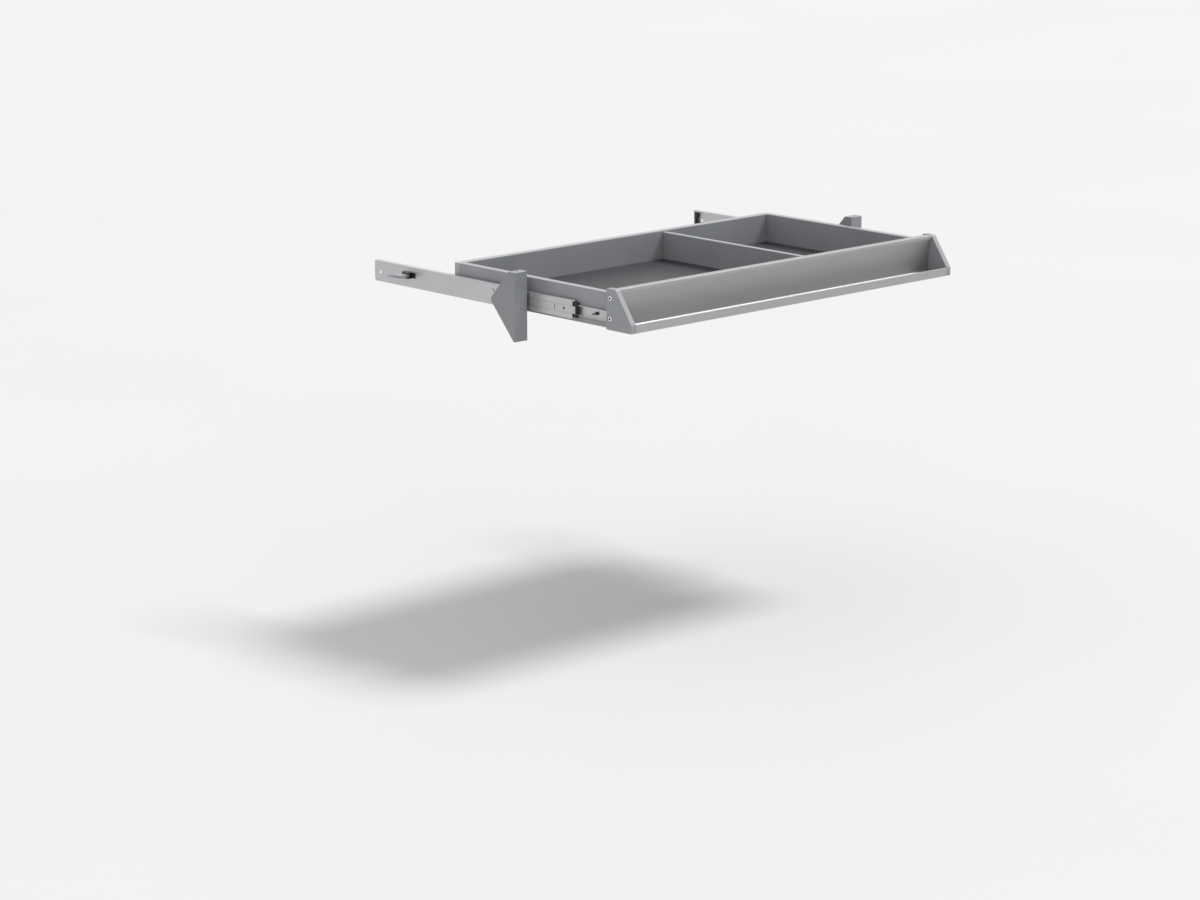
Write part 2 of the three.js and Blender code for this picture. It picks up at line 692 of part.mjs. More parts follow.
// Clip that fills the rail's window, with an ear above and below the lever.
function leverHousing() {
  const { front, back, bottom, top, inner, outer } = HOUSING;
  const plateOutline = roundedShape([
    [LEVER_WINDOW.front + GAP, bottom, 2],
    [LEVER_WINDOW.back - GAP, bottom, 2],
    [LEVER_WINDOW.back - GAP, top, 2],
    [LEVER_WINDOW.front + GAP, top, 2],
  ]);
  const plate = alongX(plateOutline, inner, inner + HOUSING_PLATE);
  const body = plate.add(block(inner, outer, front, back, bottom, top));
  const slot = block(
    inner + HOUSING_WALL,
    outer + 1,
    front - 1,
    back + 1,
    bottom + HOUSING_EAR,
    top - HOUSING_EAR,
  );
  const { x, y } = LEVER_PIVOT;
  const bore = rodZ(x, y, bottom - 1, top + 1, LEVER_PIN_RADIUS + RUNNING_CLEARANCE, 12);
  return without(body, [slot, bore]);
}

function leverPin() {
  return rodZ(LEVER_PIVOT.x, LEVER_PIVOT.y, HOUSING.bottom, HOUSING.top, LEVER_PIN_RADIUS, 12);
}

function releaseLever() {
  const bottom = HOUSING.bottom + HOUSING_EAR + GAP;
  const top = HOUSING.top - HOUSING_EAR - GAP;
  const { x, y } = LEVER_PIVOT;
  const arm = alongZ(
    roundedShape([
      [x - 3.2, y - 5.5, 2.5],
      [x + LEVER_REACH, y - 8, 1.5],
      [x + LEVER_REACH, y + 25, 2],
      [x + 10, y + 25, 2],
      [x + 9, y + 7, 2],
      [x - 3.2, y + 5.5, 2.5],
    ]),
    bottom,
    top,
  );
  const bore = rodZ(x, y, bottom - 1, top + 1, LEVER_PIN_RADIUS + RUNNING_CLEARANCE, 12);
  const aboveTab = block(x + 5, x + LEVER_REACH + 1, y + 9, y + 26, top - LEVER_TAB_THICKNESS, top + 1);
  return without(arm, [bore, aboveTab]);
}

// ---- Assembly -----------------------------------------------------------------------------------

// Pieces of one side, drawn for the right; the left side is the same group mirrored.
function sideGroup(side) {
  const group = new THREE.Group();
  const look = FINISHES;
  const add = (name, manifold, finishOfPiece) => group.add(piece(`${side}_${name}`, manifold, finishOfPiece));
  add("end_cap", endCap(), look.greyPlastic);
  add("cap_screw_lower", capScrew(CAP_SCREW_HEIGHTS[0]), look.screwSteel);
  add("cap_screw_upper", capScrew(CAP_SCREW_HEIGHTS[1]), look.screwSteel);
  add("side_wall", sideWall(), look.greySteel);
  add("rear_corner", rearCorner(), look.lightPlastic);
  add("front_connector", frontConnector(), look.greyPlastic);
  add("drawer_rail", drawerRail(), look.zincSteel);
  add("rail_screw_front", railScrew(RAIL_SCREW_PLACES[0]), look.screwSteel);
  add("rail_screw_rear", railScrew(RAIL_SCREW_PLACES[1]), look.screwSteel);
  add("disconnect_tab", disconnectTab(), look.blackPlastic);
  add("tab_rivet", tabRivet(), look.screwSteel);
  add("middle_rail", middleRail(), look.zincSteel);
  add("cage_nose", cageNose(), look.blackPlastic);
  add("inner_ball_cage", innerCage(), look.ballSteel);
  add("outer_ball_cage", outerCage(), look.ballSteel);
  add("outer_rail", outerRail(), look.zincSteel);
  add("rear_stop", rearStop(), look.blackPlastic);
  add("hanger_bracket", hangerBracket(), look.bracketSteel);
  add("bracket_screw_lower", bracketScrew(BRACKET_SCREWS[0]), look.screwSteel);
  add("bracket_screw_upper", bracketScrew(BRACKET_SCREWS[1]), look.screwSteel);
  add("lever_housing", leverHousing(), look.blackPlastic);
  add("lever_pin", leverPin(), look.screwSteel);
  add("release_lever", releaseLever(), look.greyPlastic);
  group.scale.x = side === "left" ? -1 : 1;
  return group;
}

const assembly = new THREE.Group();
assembly.add(piece("front_profile", frontProfile(), FINISHES.anodisedAluminium));
assembly.add(piece("back_wall", backWall(), FINISHES.greySteel));
assembly.add(piece("drawer_floor", drawerFloor(), FINISHES.darkBoard));
assembly.add(piece("divider", divider(), FINISHES.greySteel));
assembly.add(sideGroup("left"));
assembly.add(sideGroup("right"));
assembly.position.set(0, -BRACKET_FRONT_Y, -DESK_UNDERSIDE_Z);

const underDeskDrawer = new THREE.Group();
underDeskDrawer.add(assembly);

export default underDeskDrawer;
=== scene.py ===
"""Looks for the under-desk drawer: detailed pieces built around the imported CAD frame, in metres.

+X is to the right seen from the front, +Y is towards the back of the desk and +Z is up. Each piece is
built for the right side from the boxes of the right-hand CAD nodes, and the left side is its mirror image.
"""

import math

import bmesh
import bpy
from mathutils import Matrix, Vector


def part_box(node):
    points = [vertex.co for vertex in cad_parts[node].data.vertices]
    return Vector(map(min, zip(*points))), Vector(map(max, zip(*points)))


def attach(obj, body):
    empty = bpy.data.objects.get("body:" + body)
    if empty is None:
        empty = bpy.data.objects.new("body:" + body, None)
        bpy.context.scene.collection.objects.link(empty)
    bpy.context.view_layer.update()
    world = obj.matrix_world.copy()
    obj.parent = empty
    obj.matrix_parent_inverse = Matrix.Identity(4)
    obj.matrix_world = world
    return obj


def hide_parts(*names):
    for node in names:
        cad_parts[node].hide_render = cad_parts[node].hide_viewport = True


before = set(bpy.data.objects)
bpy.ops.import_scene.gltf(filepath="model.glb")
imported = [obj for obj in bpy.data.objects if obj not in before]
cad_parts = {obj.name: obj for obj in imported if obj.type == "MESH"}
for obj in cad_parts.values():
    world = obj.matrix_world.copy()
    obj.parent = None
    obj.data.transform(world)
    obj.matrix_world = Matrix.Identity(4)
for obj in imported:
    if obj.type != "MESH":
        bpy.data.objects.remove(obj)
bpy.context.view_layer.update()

MM = 0.001
X, Y, Z = 0, 1, 2
SIDES = ("right", "left")
GAP = 0.3 * MM
SAME_POINT = 1e-6

# Camera and room
CAMERA_PLACE = (-3.9604, -3.9905, 0.9752)
CAMERA_AZIMUTH = math.radians(-43.14)
CAMERA_ELEVATION = math.radians(13.32)
CAMERA_LENS = 102.24  # millimetres, on a sensor 36 mm wide
FLOOR_DEPTH = 0.608  # how far the floor is below the desktop's underside
FLOOR_SIZE = 60.0
SKY_STRENGTH = 1.0
KEY_STRENGTH = 3.0
KEY_ANGLE = math.radians(16)
KEY_DIRECTION = (0.6, -0.22, 1.0)  # towards the light


# ---- Outlines and meshes ---------------------------------------------------------------------------


def rounded(corners, steps=6):
    """A closed outline from corners (a, b) or (a, b, radius), with the last kind rounded."""
    points = []
    for i, corner in enumerate(corners):
        here = Vector(corner[:2])
        radius = corner[2] if len(corner) > 2 else 0
        if not radius:
            points.append(here)
            continue
        before = Vector(corners[i - 1][:2])
        after = Vector(corners[(i + 1) % len(corners)][:2])
        start = here + (before - here).normalized() * radius
        end = here + (after - here).normalized() * radius
        for step in range(steps + 1):
            t = step / steps
            points.append((1 - t) ** 2 * start + 2 * t * (1 - t) * here + t * t * end)
    return [p for i, p in enumerate(points) if (p - points[i - 1]).length > SAME_POINT]


def circle(a, b, radius, count=32):
    """A round outline."""
    turns = [2 * math.pi * i / count for i in range(count)]
    return [Vector((a + radius * math.cos(t), b + radius * math.sin(t))) for t in turns]


def inset(outline, distance):
    """The outline moved inwards by a distance that is small beside its features."""
    area = sum(p.x * q.y - q.x * p.y for p, q in zip(outline, outline[1:] + outline[:1]))
    turn = 1 if area > 0 else -1
    moved = []
    for i, here in enumerate(outline):
        ahead = (outline[(i + 1) % len(outline)] - here).normalized()
        behind = (here - outline[i - 1]).normalized()
        normal_a = Vector((-ahead.y, ahead.x)) * turn
        normal_b = Vector((-behind.y, behind.x)) * turn
        share = max(0.5, 1 + normal_a.dot(normal_b))
        moved.append(here + (normal_a + normal_b) * (distance / share))
    return moved


def place(axis, a, b, along):
    """The point of an outline's (a, b) at a distance along the axis that the outline is run along."""
    if axis == X:
        return (along, a, b)
    if axis == Y:
        return (a, along, b)
    return (a, b, along)


def mesh_object(name, vertices, faces):
    mesh = bpy.data.meshes.new(name)
    made = bmesh.new()
    points = [made.verts.new(v) for v in vertices]
    for face in faces:
        made.faces.new([points[i] for i in face])
    bmesh.ops.recalc_face_normals(made, faces=made.faces)
    made.to_mesh(mesh)
    made.free()
    piece = bpy.data.objects.new(name, mesh)
    bpy.context.scene.collection.objects.link(piece)
    return piece


def loft(name, rings):
    """A closed body through rings of the same number of points, with a flat face on each end."""
    count = len(rings[0])
    faces = [list(range(count)), list(range((len(rings) - 1) * count, len(rings) * count))]
    for r in range(len(rings) - 1):
        for i in range(count):
            j = (i + 1) % count
            faces.append([r * count + i, r * count + j, (r + 1) * count + j, (r + 1) * count + i])
    return mesh_object(name, [p for ring in rings for p in ring], faces)


def run(name, outline, axis, start, end, edge=0.3 * MM, steps=3):
    """An outline run along an axis, with the edges of both ends rounded."""
    rings = []
    angles = [math.pi / 2 * i / steps for i in range(steps + 1)] if edge else [math.pi / 2]
    for angle in angles:
        ring = inset(outline, edge * (1 - math.sin(angle)))
        rings.append([place(axis, p.x, p.y, start + edge * (1 - math.cos(angle))) for p in ring])
    for angle in reversed(angles):
        ring = inset(outline, edge * (1 - math.sin(angle)))
        rings.append([place(axis, p.x, p.y, end - edge * (1 - math.cos(angle))) for p in ring])
    return loft(name, rings)


def box_outline(a0, a1, b0, b1, radius=0.0):
    if not radius:
        return rounded([(a0, b0), (a1, b0), (a1, b1), (a0, b1)])
    return rounded([(a0, b0, radius), (a1, b0, radius), (a1, b1, radius), (a0, b1, radius)])


def turned(name, axis, centre, profile, count=40):
    """A round body on an axis through a centre, from a profile of (radius, distance along the axis)."""
    rings = []
    for radius, along in profile:
        rings.append([place(axis, p.x, p.y, along) for p in circle(*centre, radius, count)])
    return loft(name, rings)


def middle_of(box, a, b):
    """The middle of a box, given as (low, high), in two of its axes."""
    low, high = box
    return (low[a] + high[a]) / 2, (low[b] + high[b]) / 2


def settled(piece):
    """Turns the piece's modifiers into its mesh."""
    bpy.context.view_layer.update()
    graph = bpy.context.evaluated_depsgraph_get()
    mesh = bpy.data.meshes.new_from_object(piece.evaluated_get(graph))
    piece.modifiers.clear()
    piece.data = mesh
    return piece


def combined(piece, others, operation):
    for other in others:
        modifier = piece.modifiers.new(operation, "BOOLEAN")
        modifier.operation = operation
        modifier.solver = "EXACT"
        modifier.object = other
    settled(piece)
    for other in others:
        bpy.data.objects.remove(other)
    return piece


def cut(piece, *cutters):
    return combined(piece, cutters, "DIFFERENCE")


def joined(piece, *others):
    return combined(piece, others, "UNION")


def softened(piece, width, segments=3, angle=40):
    """Rounds every edge that is sharper than an angle in degrees."""
    modifier = piece.modifiers.new("edges", "BEVEL")
    modifier.width = width
    modifier.segments = segments
    modifier.limit_method = "ANGLE"
    modifier.angle_limit = math.radians(angle)
    modifier.use_clamp_overlap = True
    return settled(piece)


def add(node, piece, body, slot, *coats, side="right"):
    """Places a finished piece: mirrored for the left side, riding on its body, standing for its CAD node."""
    piece.name = node + "_piece"
    mesh = piece.data
    mesh.name = piece.name
    if side == "left":
        mesh.transform(Matrix.Scale(-1, 4, (1, 0, 0)))
        mesh.flip_normals()
    mesh.materials.clear()
    for coat in coats:
        mesh.materials.append(coat)
    mesh.shade_smooth()
    mesh.set_sharp_from_angle(angle=math.radians(35))
    weighted = piece.modifiers.new("shading", "WEIGHTED_NORMAL")
    weighted.keep_sharp = True
    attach(piece, body)
    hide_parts(node)
    return piece


# ---- Materials -------------------------------------------------------------------------------------


def linear(red, green, blue):
    """A colour given as 0 to 255 in sRGB, for a shader socket."""
    channels = [c / 255 for c in (red, green, blue)]
    return tuple(c / 12.92 if c <= 0.04045 else ((c + 0.055) / 1.055) ** 2.4 for c in channels) + (1.0,)


class Coat:
    """A Principled material with helpers for its pattern nodes. Patterns are in the row frame's metres."""

    def __init__(self, name, metallic, roughness):
        self.material = bpy.data.materials.new(name)
        self.material.use_nodes = True
        self.nodes = self.material.node_tree.nodes
        self.links = self.material.node_tree.links
        self.shader = self.nodes["Principled BSDF"]
        self.shader.inputs["Metallic"].default_value = metallic
        self.shader.inputs["Roughness"].default_value = roughness
        self.place = self.nodes.new("ShaderNodeTexCoord").outputs["Object"]

    def noise(self, scale, stretch=(1, 1, 1), detail=3.0):
        mapping = self.nodes.new("ShaderNodeMapping")
        mapping.inputs["Scale"].default_value = stretch
        self.links.new(self.place, mapping.inputs["Vector"])
        pattern = self.nodes.new("ShaderNodeTexNoise")
        pattern.inputs["Scale"].default_value = scale
        pattern.inputs["Detail"].default_value = detail
        self.links.new(mapping.outputs["Vector"], pattern.inputs["Vector"])
        return pattern.outputs["Fac"]

    def remap(self, value, low, high, to_low, to_high):
        node = self.nodes.new("ShaderNodeMapRange")
        for socket, number in zip(("From Min", "From Max", "To Min", "To Max"), (low, high, to_low, to_high)):
            node.inputs[socket].default_value = number
        self.links.new(value, node.inputs["Value"])
        return node.outputs["Result"]

    def worn_edges(self, radius, strength):
        """Near 0 on flat faces and up to strength on edges sharper than the radius."""
        bevel = self.nodes.new("ShaderNodeBevel")
        bevel.inputs["Radius"].default_value = radius
        geometry = self.nodes.new("ShaderNodeNewGeometry")
        dot = self.nodes.new("ShaderNodeVectorMath")
        dot.operation = "DOT_PRODUCT"
        self.links.new(bevel.outputs["Normal"], dot.inputs[0])
        self.links.new(geometry.outputs["Normal"], dot.inputs[1])
        return self.remap(dot.outputs["Value"], 0.99, 0.8, 0.0, strength)

    def mixed(self, factor, first, second):
        """A colour between two, each a colour or an output of this material's nodes."""
        node = self.nodes.new("ShaderNodeMix")
        node.data_type = "RGBA"
        self.links.new(factor, node.inputs["Factor"])
        for socket, colour in ((node.inputs[6], first), (node.inputs[7], second)):
            if isinstance(colour, tuple):
                socket.default_value = colour
            else:
                self.links.new(colour, socket)
        return node.outputs[2]

    def coloured(self, colour):
        self.links.new(colour, self.shader.inputs["Base Color"])

    def rough(self, value):
        self.links.new(value, self.shader.inputs["Roughness"])

    def bumped(self, height, distance, strength=1.0):
        bump = self.nodes.new("ShaderNodeBump")
        bump.inputs["Distance"].default_value = distance
        bump.inputs["Strength"].default_value = strength
        self.links.new(height, bump.inputs["Height"])
        if self.shader.inputs["Normal"].is_linked:
            self.links.new(self.shader.inputs["Normal"].links[0].from_socket, bump.inputs["Normal"])
        self.links.new(bump.outputs["Normal"], self.shader.inputs["Normal"])

    def socket(self, name, value):
        self.shader.inputs[name].default_value = value


def anodised_aluminium():
    """Drawn aluminium with fine lines along X under a satin anodised layer."""
    coat = Coat("anodised_aluminium", 0.85, 0.42)
    lines = coat.noise(900, (0.012, 1, 1), 4)
    clouds = coat.noise(9, (0.35, 1, 1), 2)
    base = coat.mixed(clouds, linear(160, 161, 160), linear(167, 168, 167))
    streaked = coat.mixed(coat.remap(lines, 0.35, 0.7, 0, 0.14), base, linear(186, 187, 186))
    coat.coloured(coat.mixed(coat.worn_edges(0.6 * MM, 0.6), streaked, linear(206, 207, 206)))
    coat.rough(coat.remap(lines, 0.3, 0.7, 0.38, 0.46))
    coat.bumped(lines, 0.002 * MM, 0.4)
    return coat.material


def moulded_plastic(name, base, light, grain):
    """Injection-moulded plastic: a fine spark-eroded grain, slight clouding and paler rubbed edges."""
    coat = Coat(name, 0.0, 0.42)
    clouds = coat.noise(26, detail=2)
    texture = coat.noise(2600, detail=2)
    body = coat.mixed(coat.remap(clouds, 0.3, 0.7, 0, 1), base, light)
    coat.coloured(coat.mixed(coat.worn_edges(0.5 * MM, 0.35), body, grain))
    coat.rough(coat.remap(texture, 0.3, 0.7, 0.36, 0.5))
    coat.bumped(texture, 0.02 * MM, 0.6)
    return coat.material


def powder_coat(name, base, light, edge):
    """Powder paint on folded steel: faint orange peel, satin gloss and paler edges where the film is thin."""
    coat = Coat(name, 0.0, 0.35)
    clouds = coat.noise(14, detail=2)
    peel = coat.noise(420, detail=2)
    grit = coat.noise(3800, detail=1)
    body = coat.mixed(coat.remap(clouds, 0.3, 0.7, 0, 1), base, light)
    coat.coloured(coat.mixed(coat.worn_edges(0.6 * MM, 0.4), body, edge))
    coat.rough(coat.remap(clouds, 0.3, 0.7, 0.3, 0.4))
    coat.bumped(peel, 0.05 * MM, 0.35)
    coat.bumped(grit, 0.01 * MM, 0.5)
    coat.socket("Coat Weight", 0.12)
    coat.socket("Coat Roughness", 0.25)
    return coat.material


def zinc_steel():
    """Bright zinc on roll-formed strip: rolling lines along Y, faint clouding and pale edges."""
    coat = Coat("zinc_steel", 0.8, 0.32)
    lines = coat.noise(1100, (1, 0.012, 1), 4)
    clouds = coat.noise(22, (1, 0.4, 1), 3)
    base = coat.mixed(coat.remap(clouds, 0.3, 0.75, 0, 1), linear(188, 189, 190), linear(181, 182, 184))
    streaked = coat.mixed(coat.remap(lines, 0.35, 0.7, 0, 0.15), base, linear(206, 207, 208))
    coat.coloured(coat.mixed(coat.worn_edges(0.5 * MM, 0.5), streaked, linear(230, 231, 232)))
    coat.rough(coat.remap(clouds, 0.3, 0.7, 0.3, 0.4))
    coat.bumped(lines, 0.003 * MM, 0.5)
    return coat.material


def screw_steel():
    """Bright plated screws with turning marks and slight staining."""
    coat = Coat("screw_steel", 0.95, 0.22)
    stain = coat.noise(240, detail=3)
    coat.coloured(coat.mixed(coat.remap(stain, 0.4, 0.7, 0, 1), linear(236, 236, 237), linear(206, 207, 210)))
    coat.rough(coat.remap(stain, 0.3, 0.7, 0.18, 0.3))
    coat.bumped(coat.noise(1500, detail=2), 0.006 * MM, 0.4)
    return coat.material


def socket_shade_and_dark_rivet():
    """Near-black steel colour with a faint mottle: painted shade on the walls and bottoms of the screws'
    sockets, and also the colour of the whole of each disconnect tab's rivet.
    """
    coat = Coat("socket_shade_and_dark_rivet", 0.3, 0.6)
    mottle = coat.noise(900, detail=3)
    coat.coloured(coat.mixed(mottle, linear(18, 18, 20), linear(44, 44, 46)))
    coat.rough(coat.remap(mottle, 0.3, 0.7, 0.5, 0.75))
    coat.bumped(mottle, 0.02 * MM)
    return coat.material


def dark_board():
    """Anthracite melamine with a fine pearl texture. The colour is darker than the board's own anthracite: part
    of it is painted shade from a desktop over the drawer.
    """
    coat = Coat("dark_board", 0.0, 0.5)
    pearl = coat.noise(1300, detail=2)
    clouds = coat.noise(11, detail=3)
    body = coat.mixed(coat.remap(clouds, 0.3, 0.7, 0, 1), linear(42, 43, 46), linear(49, 50, 53))
    coat.coloured(coat.mixed(coat.remap(pearl, 0.55, 0.75, 0, 0.3), body, linear(74, 75, 78)))
    coat.rough(coat.remap(pearl, 0.3, 0.7, 0.42, 0.58))
    coat.bumped(pearl, 0.05 * MM, 0.6)
    return coat.material


def black_plastic():
    """Black polyamide with a fine grain and a faint sheen of grease."""
    coat = Coat("black_plastic", 0.0, 0.4)
    grain = coat.noise(2400, detail=2)
    smear = coat.noise(120, detail=3)
    coat.coloured(coat.mixed(coat.remap(smear, 0.4, 0.7, 0, 1), linear(22, 22, 24), linear(38, 38, 41)))
    coat.rough(coat.remap(smear, 0.3, 0.7, 0.3, 0.5))
    coat.bumped(grain, 0.02 * MM, 0.5)
    return coat.material


def ball_steel():
    """Polished hard steel balls in a plated strip, with a thin film of grease."""
    coat = Coat("ball_steel", 1.0, 0.14)
    film = coat.noise(300, detail=3)
    coat.coloured(coat.mixed(film, linear(226, 227, 229), linear(196, 196, 192)))
    coat.rough(coat.remap(film, 0.3, 0.7, 0.1, 0.3))
    coat.bumped(film, 0.004 * MM, 0.3)
    return coat.material


def studio_floor():
    coat = Coat("studio_floor", 0.0, 0.7)
    tone = coat.noise(1.2, detail=2)
    coat.coloured(coat.mixed(tone, linear(183, 183, 183), linear(186, 186, 186)))
    coat.rough(coat.remap(tone, 0.3, 0.7, 0.65, 0.75))
    return coat.material


ALUMINIUM = anodised_aluminium()
GREY_PLASTIC = moulded_plastic(
    "grey_plastic", linear(132, 134, 137), linear(137, 139, 142), linear(166, 168, 170)
)
LIGHT_PLASTIC = moulded_plastic(
    "light_plastic", linear(150, 152, 155), linear(156, 158, 161), linear(178, 180, 182)
)
GREY_STEEL = powder_coat(
    "grey_steel", linear(129, 131, 134), linear(135, 137, 140), linear(164, 166, 168)
)
BRACKET_STEEL = powder_coat(
    "bracket_steel", linear(119, 121, 124), linear(125, 127, 130), linear(152, 154, 156)
)
ZINC = zinc_steel()
SCREW = screw_steel()
SOCKET_SHADE_AND_DARK_RIVET = socket_shade_and_dark_rivet()
SHADE_DARKENED_BOARD = dark_board()
BLACK = black_plastic()
BALLS = ball_steel()


# ---- Drawer front ----------------------------------------------------------------------------------

LIP_HEIGHT = 14 * MM
LIP_THICKNESS = 2.4 * MM
TRAY_FLOOR = 3 * MM
TRAY_BACK = 42.5 * MM  # behind the lip's front face, at the tray's floor
TRAY_EDGE = 35 * MM  # front edge of the strip over the tray's back wall
TRAY_EDGE_HEIGHT = 60.5 * MM
TRAY_BEND_HEIGHT = 8 * MM
STRIP_BACK = 48.5 * MM
STRIP_GROOVE = (0.9 * MM, 0.55 * MM)  # place behind the strip's front edge, and width
STRIP_GROOVE_DEPTH = 0.35 * MM
STRIP_GROOVE_SLOPE = 0.1 * MM
CAP_SLOPE_TOP = 36 * MM
CAP_SCREW_SEAT = 2.6 * MM  # under the cap's outer face
CAP_SCREW_HOLE = 2.3 * MM
CAP_SCREW_POCKET = (4.5 * MM, 5.1 * MM)  # radius at the seat and at the rim
CAP_SCREW_SHANK = 2 * MM
CAP_SCREW_HEAD_HEIGHT = 2.2 * MM
CAP_SCREW_SOCKET = (2 * MM, 1.8 * MM)  # radius and depth


def tray_back_arc(steps=28):
    """The tray's back wall, which leans forward in one arc, from the bottom up."""
    rise = TRAY_EDGE_HEIGHT - TRAY_BEND_HEIGHT
    lean = TRAY_BACK - TRAY_EDGE
    radius = (rise**2 + lean**2) / (2 * lean)
    heights = [rise * i / steps for i in range(steps + 1)]
    return [(TRAY_BACK - radius + math.sqrt(radius**2 - h**2), TRAY_BEND_HEIGHT + h) for h in heights]


def front_profile():
    low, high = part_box("front_profile")
    depth, height = high.y - low.y, high.z - low.z
    groove_front = TRAY_EDGE + STRIP_GROOVE[0]
    groove_back = groove_front + STRIP_GROOVE[1]
    groove_floor = height - STRIP_GROOVE_DEPTH
    corners = [
        (0, 0, 0.6 * MM),
        (0, LIP_HEIGHT, 0.7 * MM),
        (LIP_THICKNESS, LIP_HEIGHT, 0.7 * MM),
        (LIP_THICKNESS, TRAY_FLOOR, 2 * MM),
        (TRAY_BACK, TRAY_FLOOR, 3.5 * MM),
        *tray_back_arc(),
        (TRAY_EDGE, height, 0.6 * MM),
        (groove_front, height),
        (groove_front + STRIP_GROOVE_SLOPE, groove_floor),
        (groove_back - STRIP_GROOVE_SLOPE, groove_floor),
        (groove_back, height),
        (STRIP_BACK, height, 1 * MM),
        (depth, height - (depth - STRIP_BACK), 1 * MM),
        (depth, 0, 1 * MM),
    ]
    outline = [p + Vector((low.y, low.z)) for p in rounded(corners)]
    piece = run("front_profile", outline, X, low.x, high.x, 0.15 * MM, 2)
    add("front_profile", piece, "drawer", "anodised_aluminium", ALUMINIUM)


def cap_screw_places():
    """The Y and Z of the two screws of the right-hand end cap."""
    return [middle_of(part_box(f"right_cap_screw_{end}"), Y, Z) for end in ("lower", "upper")]


def end_cap(side):
    low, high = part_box("right_end_cap")
    depth, height = high.y - low.y, high.z - low.z
    corners = [
        (0, 0, 1 * MM),
        (0, LIP_HEIGHT, 1.2 * MM),
        (CAP_SLOPE_TOP, height, 3 * MM),
        (depth, height, 3 * MM),
        (depth, 0, 1 * MM),
    ]
    outline = [p + Vector((low.y, low.z)) for p in rounded(corners, 8)]
    piece = run("end_cap", outline, X, low.x, high.x, 0.7 * MM, 4)
    seat = high.x - CAP_SCREW_SEAT
    seat_radius, rim_radius = CAP_SCREW_POCKET
    bore = [(CAP_SCREW_HOLE, low.x - MM), (CAP_SCREW_HOLE, seat + 0.1 * MM)]
    pocket = [
        (seat_radius, seat),
        (seat_radius, high.x - 0.4 * MM),
        (rim_radius, high.x + 0.2 * MM),
        (rim_radius, high.x + MM),
    ]
    for centre in cap_screw_places():
        cut(piece, turned("bore", X, centre, bore), turned("pocket", X, centre, pocket))
    add(f"{side}_end_cap", piece, "drawer", "grey_plastic", GREY_PLASTIC, side=side)


def socket_screw(centre, head_x, head, shank, socket):
    """A screw along X whose head faces outwards and ends at head_x. head is (radius, height), shank is
    (radius, inner end) and socket is (radius, depth)."""
    radius, height = head
    shank_radius, tip = shank
    socket_radius, socket_depth = socket
    profile = [
        (shank_radius * 0.6, tip),
        (shank_radius, tip + 1.2 * MM),
        (shank_radius, head_x - height - 0.1 * MM),
        (radius - 0.3 * MM, head_x - height - 0.1 * MM),
        (radius, head_x - height + 0.25 * MM),
        (radius, head_x - 0.6 * MM),
        (radius - 0.15 * MM, head_x - 0.3 * MM),
        (radius - 0.5 * MM, head_x - 0.05 * MM),
        (radius - 0.9 * MM, head_x),
        (socket_radius + 0.25 * MM, head_x),
    ]
    piece = turned("screw", X, centre, profile, 48)
    rim = [(socket_radius, head_x - 0.2 * MM), (socket_radius + 0.3 * MM, head_x + 0.1 * MM)]
    flare = turned("flare", X, centre, rim)
    corners = circle(*centre, socket_radius * 1.04, 6)
    hexagon = run("hexagon", corners, X, head_x - socket_depth, head_x + MM, 0)
    cut(piece, flare, hexagon)
    # The second, near-black material goes on the socket's walls and bottom: painted shade in the socket.
    piece.data.materials.append(SCREW)
    piece.data.materials.append(SOCKET_SHADE_AND_DARK_RIVET)
    for face in piece.data.polygons:
        away = math.hypot(face.center.y - centre[0], face.center.z - centre[1])
        inside = head_x - socket_depth - 0.05 * MM < face.center.x < head_x - 0.1 * MM
        face.material_index = int(inside and away < socket_radius)
    return piece


def add_screw(node, piece, body, side):
    """add() for a screw, whose faces already know which of its two materials they have."""
    indices = [face.material_index for face in piece.data.polygons]
    add(node, piece, body, "screw_steel", SCREW, SOCKET_SHADE_AND_DARK_RIVET, side=side)
    piece.data.polygons.foreach_set("material_index", indices)


def cap_screws(side):
    for end in ("lower", "upper"):
        low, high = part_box(f"right_cap_screw_{end}")
        centre = middle_of((low, high), Y, Z)
        head = ((high.y - low.y) / 2, CAP_SCREW_HEAD_HEIGHT)
        piece = socket_screw(centre, high.x, head, (CAP_SCREW_SHANK, low.x), CAP_SCREW_SOCKET)
        add_screw(f"{side}_cap_screw_{end}", piece, "drawer", side)


# ---- Drawer box ------------------------------------------------------------------------------------

SHEET = 1 * MM
FOLD = 1.5 * MM
INNER_FOLD = FOLD - SHEET / 2
FOLD_STEPS = 8
RAIL_SCREW_HOLE = 1.9 * MM
RAIL_SCREW_NODES = ("right_rail_screw_front", "right_rail_screw_rear")
CONNECTOR_RIBS = 5
CONNECTOR_GROOVE = (0.8 * MM, 1.2 * MM)  # depth and width


def folded_wall(first, last, bottom, top):
    """The section, as (across, height), of a wall folded from sheet over its top edge and open below."""
    corners = [
        (first, bottom),
        (first, top, FOLD),
        (last, top, FOLD),
        (last, bottom),
        (last - SHEET, bottom),
        (last - SHEET, top - SHEET, INNER_FOLD),
        (first + SHEET, top - SHEET, INNER_FOLD),
        (first + SHEET, bottom),
    ]
    return rounded(corners, FOLD_STEPS)


